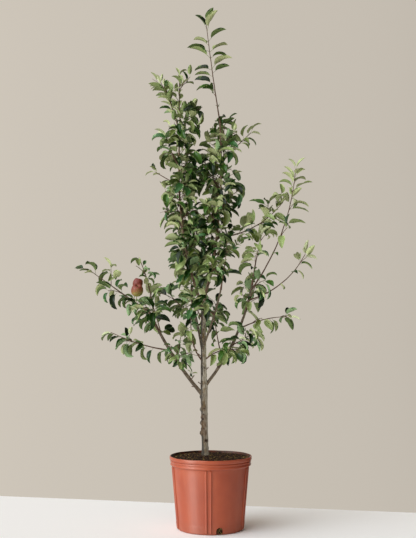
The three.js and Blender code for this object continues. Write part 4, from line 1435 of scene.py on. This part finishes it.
# each part's roughness and specular, then how leaves are dealt their tones and turned a little
leafFinish = dict(
    parts=(("leaf", 0.32, 0.26), ("underside", 0.6, 0.2), ("stalk", 0.55, 0.35)),
    lightest=5, cool=6, power=1.2, contrast=1.6, byShoot=0.45, swing=0.5, nod=0.4,
)
# the pieces of leaves, with the share of each one's middle tones that is the cooler green
coolShares = dict(leaves_left=0.65, leaves_right=0.6, leaves_middle=0.7, leaves_top=0.1,
                  leaves_left_column=0.35, leaves_right_column=0.35)


def makeLeaves():
    shapes = [modelLeaf(**kind) for kind in leafKinds]
    youngShapes = [modelLeaf(**kind) for kind in youngKinds]
    materials = []
    for tone, *colors in leafTones:
        for (part, roughness, specular), color in zip(leafFinish["parts"], colors):
            finish = Finish(f"{part}_{tone}", color, roughness, Specular_IOR_Level=specular)
            materials.append(finish.material)
    for region, coolness in coolShares.items():
        names = [name for name, mass in massNamed.items() if mass["spec"]["region"] == region]
        heap = Heap()
        rims = []
        for name in names:
            random = seededRandom(growth["firstSeed"] + len(name) * 31 + len(rims))
            fresh = massNamed[name]["spec"]["fresh"]
            choice = massNamed[name]["spec"].get("shapes", range(len(shapes)))
            for grown in massNamed[name]["leaves"]:
                direction, normal = grown["direction"], grown["normal"]
                aside = unit(np.cross(normal, direction))
                direction = direction + aside * leafFinish["swing"] * (random() - 0.5)
                direction = unit(direction + normal * leafFinish["nod"] * (random() - 0.5))
                normal = unit(normal - direction * (normal @ direction))
                axes = np.array([direction, unit(np.cross(normal, direction)), normal])
                ofShoot = grown.get("tone", random())
                share = leafFinish["byShoot"] * ofShoot + (1 - leafFinish["byShoot"]) * random()
                share = min(1, max(0, 0.5 + (share - 0.5) * leafFinish["contrast"]))
                if grown["young"] and random() < fresh:
                    shape, tone = youngShapes[int(random() * 2)], leafFinish["lightest"]
                else:
                    shape = shapes[choice[int(random() * len(choice))]]
                    tone = int(min(4.6, max(0, share ** leafFinish["power"] * (4.4 + 2.6 * fresh) + 1.2 * fresh)))
                    if tone in (2, 3) and random() < coolness * (1 - fresh):
                        tone = leafFinish["cool"]
                corners, faces, kinds, rim = shape
                heap.add((corners, faces), axes, grown["root"], grown["length"], (kinds + tone * 3).tolist())
                rims.append(rim)
        leaves = joinedPiece(region, heap.places, heap.faces, heap.numbers, materials)
        leaves.data.polygons.foreach_set("use_smooth", [True] * len(leaves.data.polygons))
        # the rim is a crease between a leaf's two sides
        onRim = np.concatenate(rims)
        ends = np.empty(len(leaves.data.edges) * 2, np.int32)
        leaves.data.edges.foreach_get("vertices", ends)
        sharp = onRim[ends.reshape(-1, 2)].all(axis=1)
        leaves.data.attributes.new("sharp_edge", "BOOLEAN", "EDGE").data.foreach_set("value", sharp)
        finishPiece(leaves, names)


makeLeaves()


# two apples on the left arm: where along its stem, offset of the middle and radius
apples = [
    dict(at=0.24, offset=(0.006, -0.031, 0.043), radius=0.021, blush=0.43),
    dict(at=0.29, offset=(0.016, -0.002, 0.062), radius=0.0175, blush=0.66),
]
appleStalk = dict(heights=(0.6, 0.8, 0.95), radii=(0.0013, 0.0010, 0.0010, 0.0015), sides=6)
# half of an apple's section, from the calyx basin up to the stalk's cavity, for a radius of 1
appleOutline = [
    (0, -0.74), (0.1, -0.76), (0.2, -0.84), (0.34, -0.93), (0.5, -0.955), (0.68, -0.87), (0.84, -0.66),
    (0.95, -0.36), (1.0, -0.02), (0.99, 0.28), (0.9, 0.56), (0.74, 0.76), (0.54, 0.86), (0.36, 0.85),
    (0.22, 0.77), (0.1, 0.66), (0, 0.6),
]


def appleMaterial():
    finish = Finish("apple_skin", "8c4638", 0.46, Specular_IOR_Level=0.45)
    blush = finish.node("Attribute", attribute_name="blush").outputs["Fac"]
    place = finish.place()
    share = finish.plus(blush, finish.ragged(place, 170, 4, 0.5))
    color = finish.ramp(share, [(0.16, "8f8c42"), (0.34, "93683c"), (0.52, "874233"), (0.85, "7d342e")])
    specks = finish.ramp(finish.grain(place, 900, detail=1), [(0.68, 0.0), (0.74, 0.5)])
    finish.wire("Base Color", finish.blend(specks, color, "c9b183"))
    return finish.material


def makeApples():
    line = massNamed["left_arm"]["line"]
    made = []
    for apple in apples:
        root = line.pointAt(apple["at"])
        middle = root + np.array(apple["offset"])
        radius = apple["radius"]
        up = unit(root - middle)
        side = unit(np.cross(up, np.array([0, 1.0, 0.2])))
        axes = np.array([side, np.cross(up, side), up])
        outline = [(r * radius, h * radius) for r, h in appleOutline]
        fruit = spunShell("apple", outline, 32)
        places = positions(fruit)
        turn = np.arctan2(places[:, 1], places[:, 0])
        low = np.clip(0.2 - places[:, 2] / radius, 0, 1)
        places[:, :2] *= (1 + 0.035 * np.cos(5 * turn) * low)[:, None]
        placed = places @ axes + middle
        setPositions(fruit, placed)
        # sun-side blush: strongest round the stalk and to the left, paler at the calyx
        fromMiddle = (placed - middle) / radius
        share = fromMiddle[:, 2] * 0.34 - fromMiddle[:, 0] * 0.08 + apple["blush"]
        attribute = fruit.data.attributes.new("blush", "FLOAT", "POINT")
        attribute.data.foreach_set("value", share)
        heap = Heap()
        stalk = [middle + up * radius * h for h in appleStalk["heights"]] + [root]
        heap.tube(stalk, appleStalk["radii"], appleStalk["sides"], 1)
        for k in range(5):
            lean = heading(k * 72, -58)
            tip = middle + (lean * radius * 0.16 + np.array([0, 0, -0.78]) * radius) @ axes
            foot = middle + (np.array([0, 0, -0.73]) * radius) @ axes
            heap.tube([foot, tip], (0.0011, 0.0002), 4, 1)
        parts = joinedPiece("apple_parts", heap.places, heap.faces, heap.numbers, [])
        made += [fruit, parts]
    bpy.ops.object.select_all(action="DESELECT")
    for piece in made:
        piece.select_set(True)
        skin = piece.name.startswith("apple_parts")
        for face in piece.data.polygons:
            face.material_index = 1 if skin else 0
    bpy.context.view_layer.objects.active = made[0]
    for piece in made:
        piece.data.materials.clear()
    made[0].data.materials.append(appleMaterial())
    stalkMaterial = Finish("apple_stalk", "5b4a2c", 0.7).material
    made[0].data.materials.append(stalkMaterial)
    for piece in made[1:]:
        piece.data.materials.append(made[0].data.materials[0])
        piece.data.materials.append(stalkMaterial)
    bpy.ops.object.join()
    fruit = startPiece("apples")
    smoothBy(fruit, 50)
    finishPiece(fruit)


makeApples()


# floor, light and camera
studio = dict(
    floorEdge=((-0.85, 0.61), (0.77, 0.265)), floorLeft=2.6, floorRight=2.6, floorDepth=3.2, floorThickness=0.02,
    floor="f8f7f7", backdrop=(0.578, 0.527, 0.456),
    keyTurn=-58, keyRise=38, keySpread=68, keyStrength=1.9, keyColor=(0.86, 0.93, 1.0),
    stripRise=10, stripSpread=30, stripStrength=1.25,
    roomLight=[(0, 0.9), (0.3, 0.6), (0.38, 0.535), (0.5, 0.5), (0.62, 0.46), (0.7, 0.28), (0.8, 0.1), (1, 0.03)],
)
camera = dict(place=(-0.0093, -3.106, 0.659), tilt=0.0742, lens=59.59)


def makeStage():
    left, right = (np.array([*spot, 0.0]) for spot in studio["floorEdge"])
    along = unit(right - left)
    back = np.array([-along[1], along[0], 0])
    middle = (left + right) / 2
    width, depth = studio["floorLeft"] + studio["floorRight"], studio["floorDepth"]
    thick = studio["floorThickness"]
    bpy.ops.mesh.primitive_cube_add(size=1, scale=(width, depth, thick))
    floor = startPiece("floor")
    floor.location = middle - back * depth / 2 - upward * thick / 2
    floor.rotation_euler = (0, 0, math.atan2(along[1], along[0]))
    bpy.ops.object.transform_apply(location=True, rotation=True, scale=True)
    floor.data.materials.append(Finish("floor_white", studio["floor"], 0.9, Specular_IOR_Level=0.0).material)

    world = bpy.data.worlds.new("studio")
    bpy.context.scene.world = world
    world.use_nodes = True
    nodes, links = world.node_tree.nodes, world.node_tree.links
    background = nodes["Background"]
    way = nodes.new("ShaderNodeTexCoord")
    axes = nodes.new("ShaderNodeSeparateXYZ")
    links.new(way.outputs["Generated"], axes.inputs[0])
    # a paper wall a little brighter to the left, in a room that is dark far to the right
    curve = nodes.new("ShaderNodeFloatCurve")
    curve.inputs["Factor"].default_value = 1
    points = curve.mapping.curves[0].points
    for at, level in studio["roomLight"]:
        if at in (0, 1):
            points[0 if at == 0 else -1].location = (at, level)
        else:
            points.new(at, level)
    curve.mapping.update()
    spread = nodes.new("ShaderNodeMapRange")
    spread.inputs["From Min"].default_value = -1
    links.new(axes.outputs["X"], spread.inputs["Value"])
    links.new(spread.outputs["Result"], curve.inputs["Value"])
    doubled = nodes.new("ShaderNodeMath")
    doubled.operation = "MULTIPLY"
    doubled.inputs[1].default_value = 2
    links.new(curve.outputs[0], doubled.inputs[0])
    links.new(doubled.outputs[0], background.inputs["Strength"])
    background.inputs["Color"].default_value = (*studio["backdrop"], 1)

    for name, rise, spreadAngle, strength in (
        ("key", studio["keyRise"], studio["keySpread"], studio["keyStrength"]),
        ("strip", studio["stripRise"], studio["stripSpread"], studio["stripStrength"]),
    ):
        tilt, turn = math.radians(90 - rise), math.radians(studio["keyTurn"])
        bpy.ops.object.light_add(type="SUN", location=(-2, -1, 2), rotation=(tilt, 0, turn))
        lamp = bpy.context.object
        lamp.name = name
        lamp.data.energy = strength
        lamp.data.angle = math.radians(spreadAngle)
        lamp.data.color = studio["keyColor"]

    bpy.ops.object.camera_add(location=camera["place"], rotation=(math.pi / 2 + camera["tilt"], 0, 0))
    lens = bpy.context.object
    lens.data.sensor_fit = "AUTO"
    lens.data.sensor_width = 36
    lens.data.lens = camera["lens"]
    bpy.context.scene.camera = lens
    bpy.context.scene.view_settings.view_transform = "Standard"
    bpy.context.scene.view_settings.look = "None"


makeStage()
print("stage set")
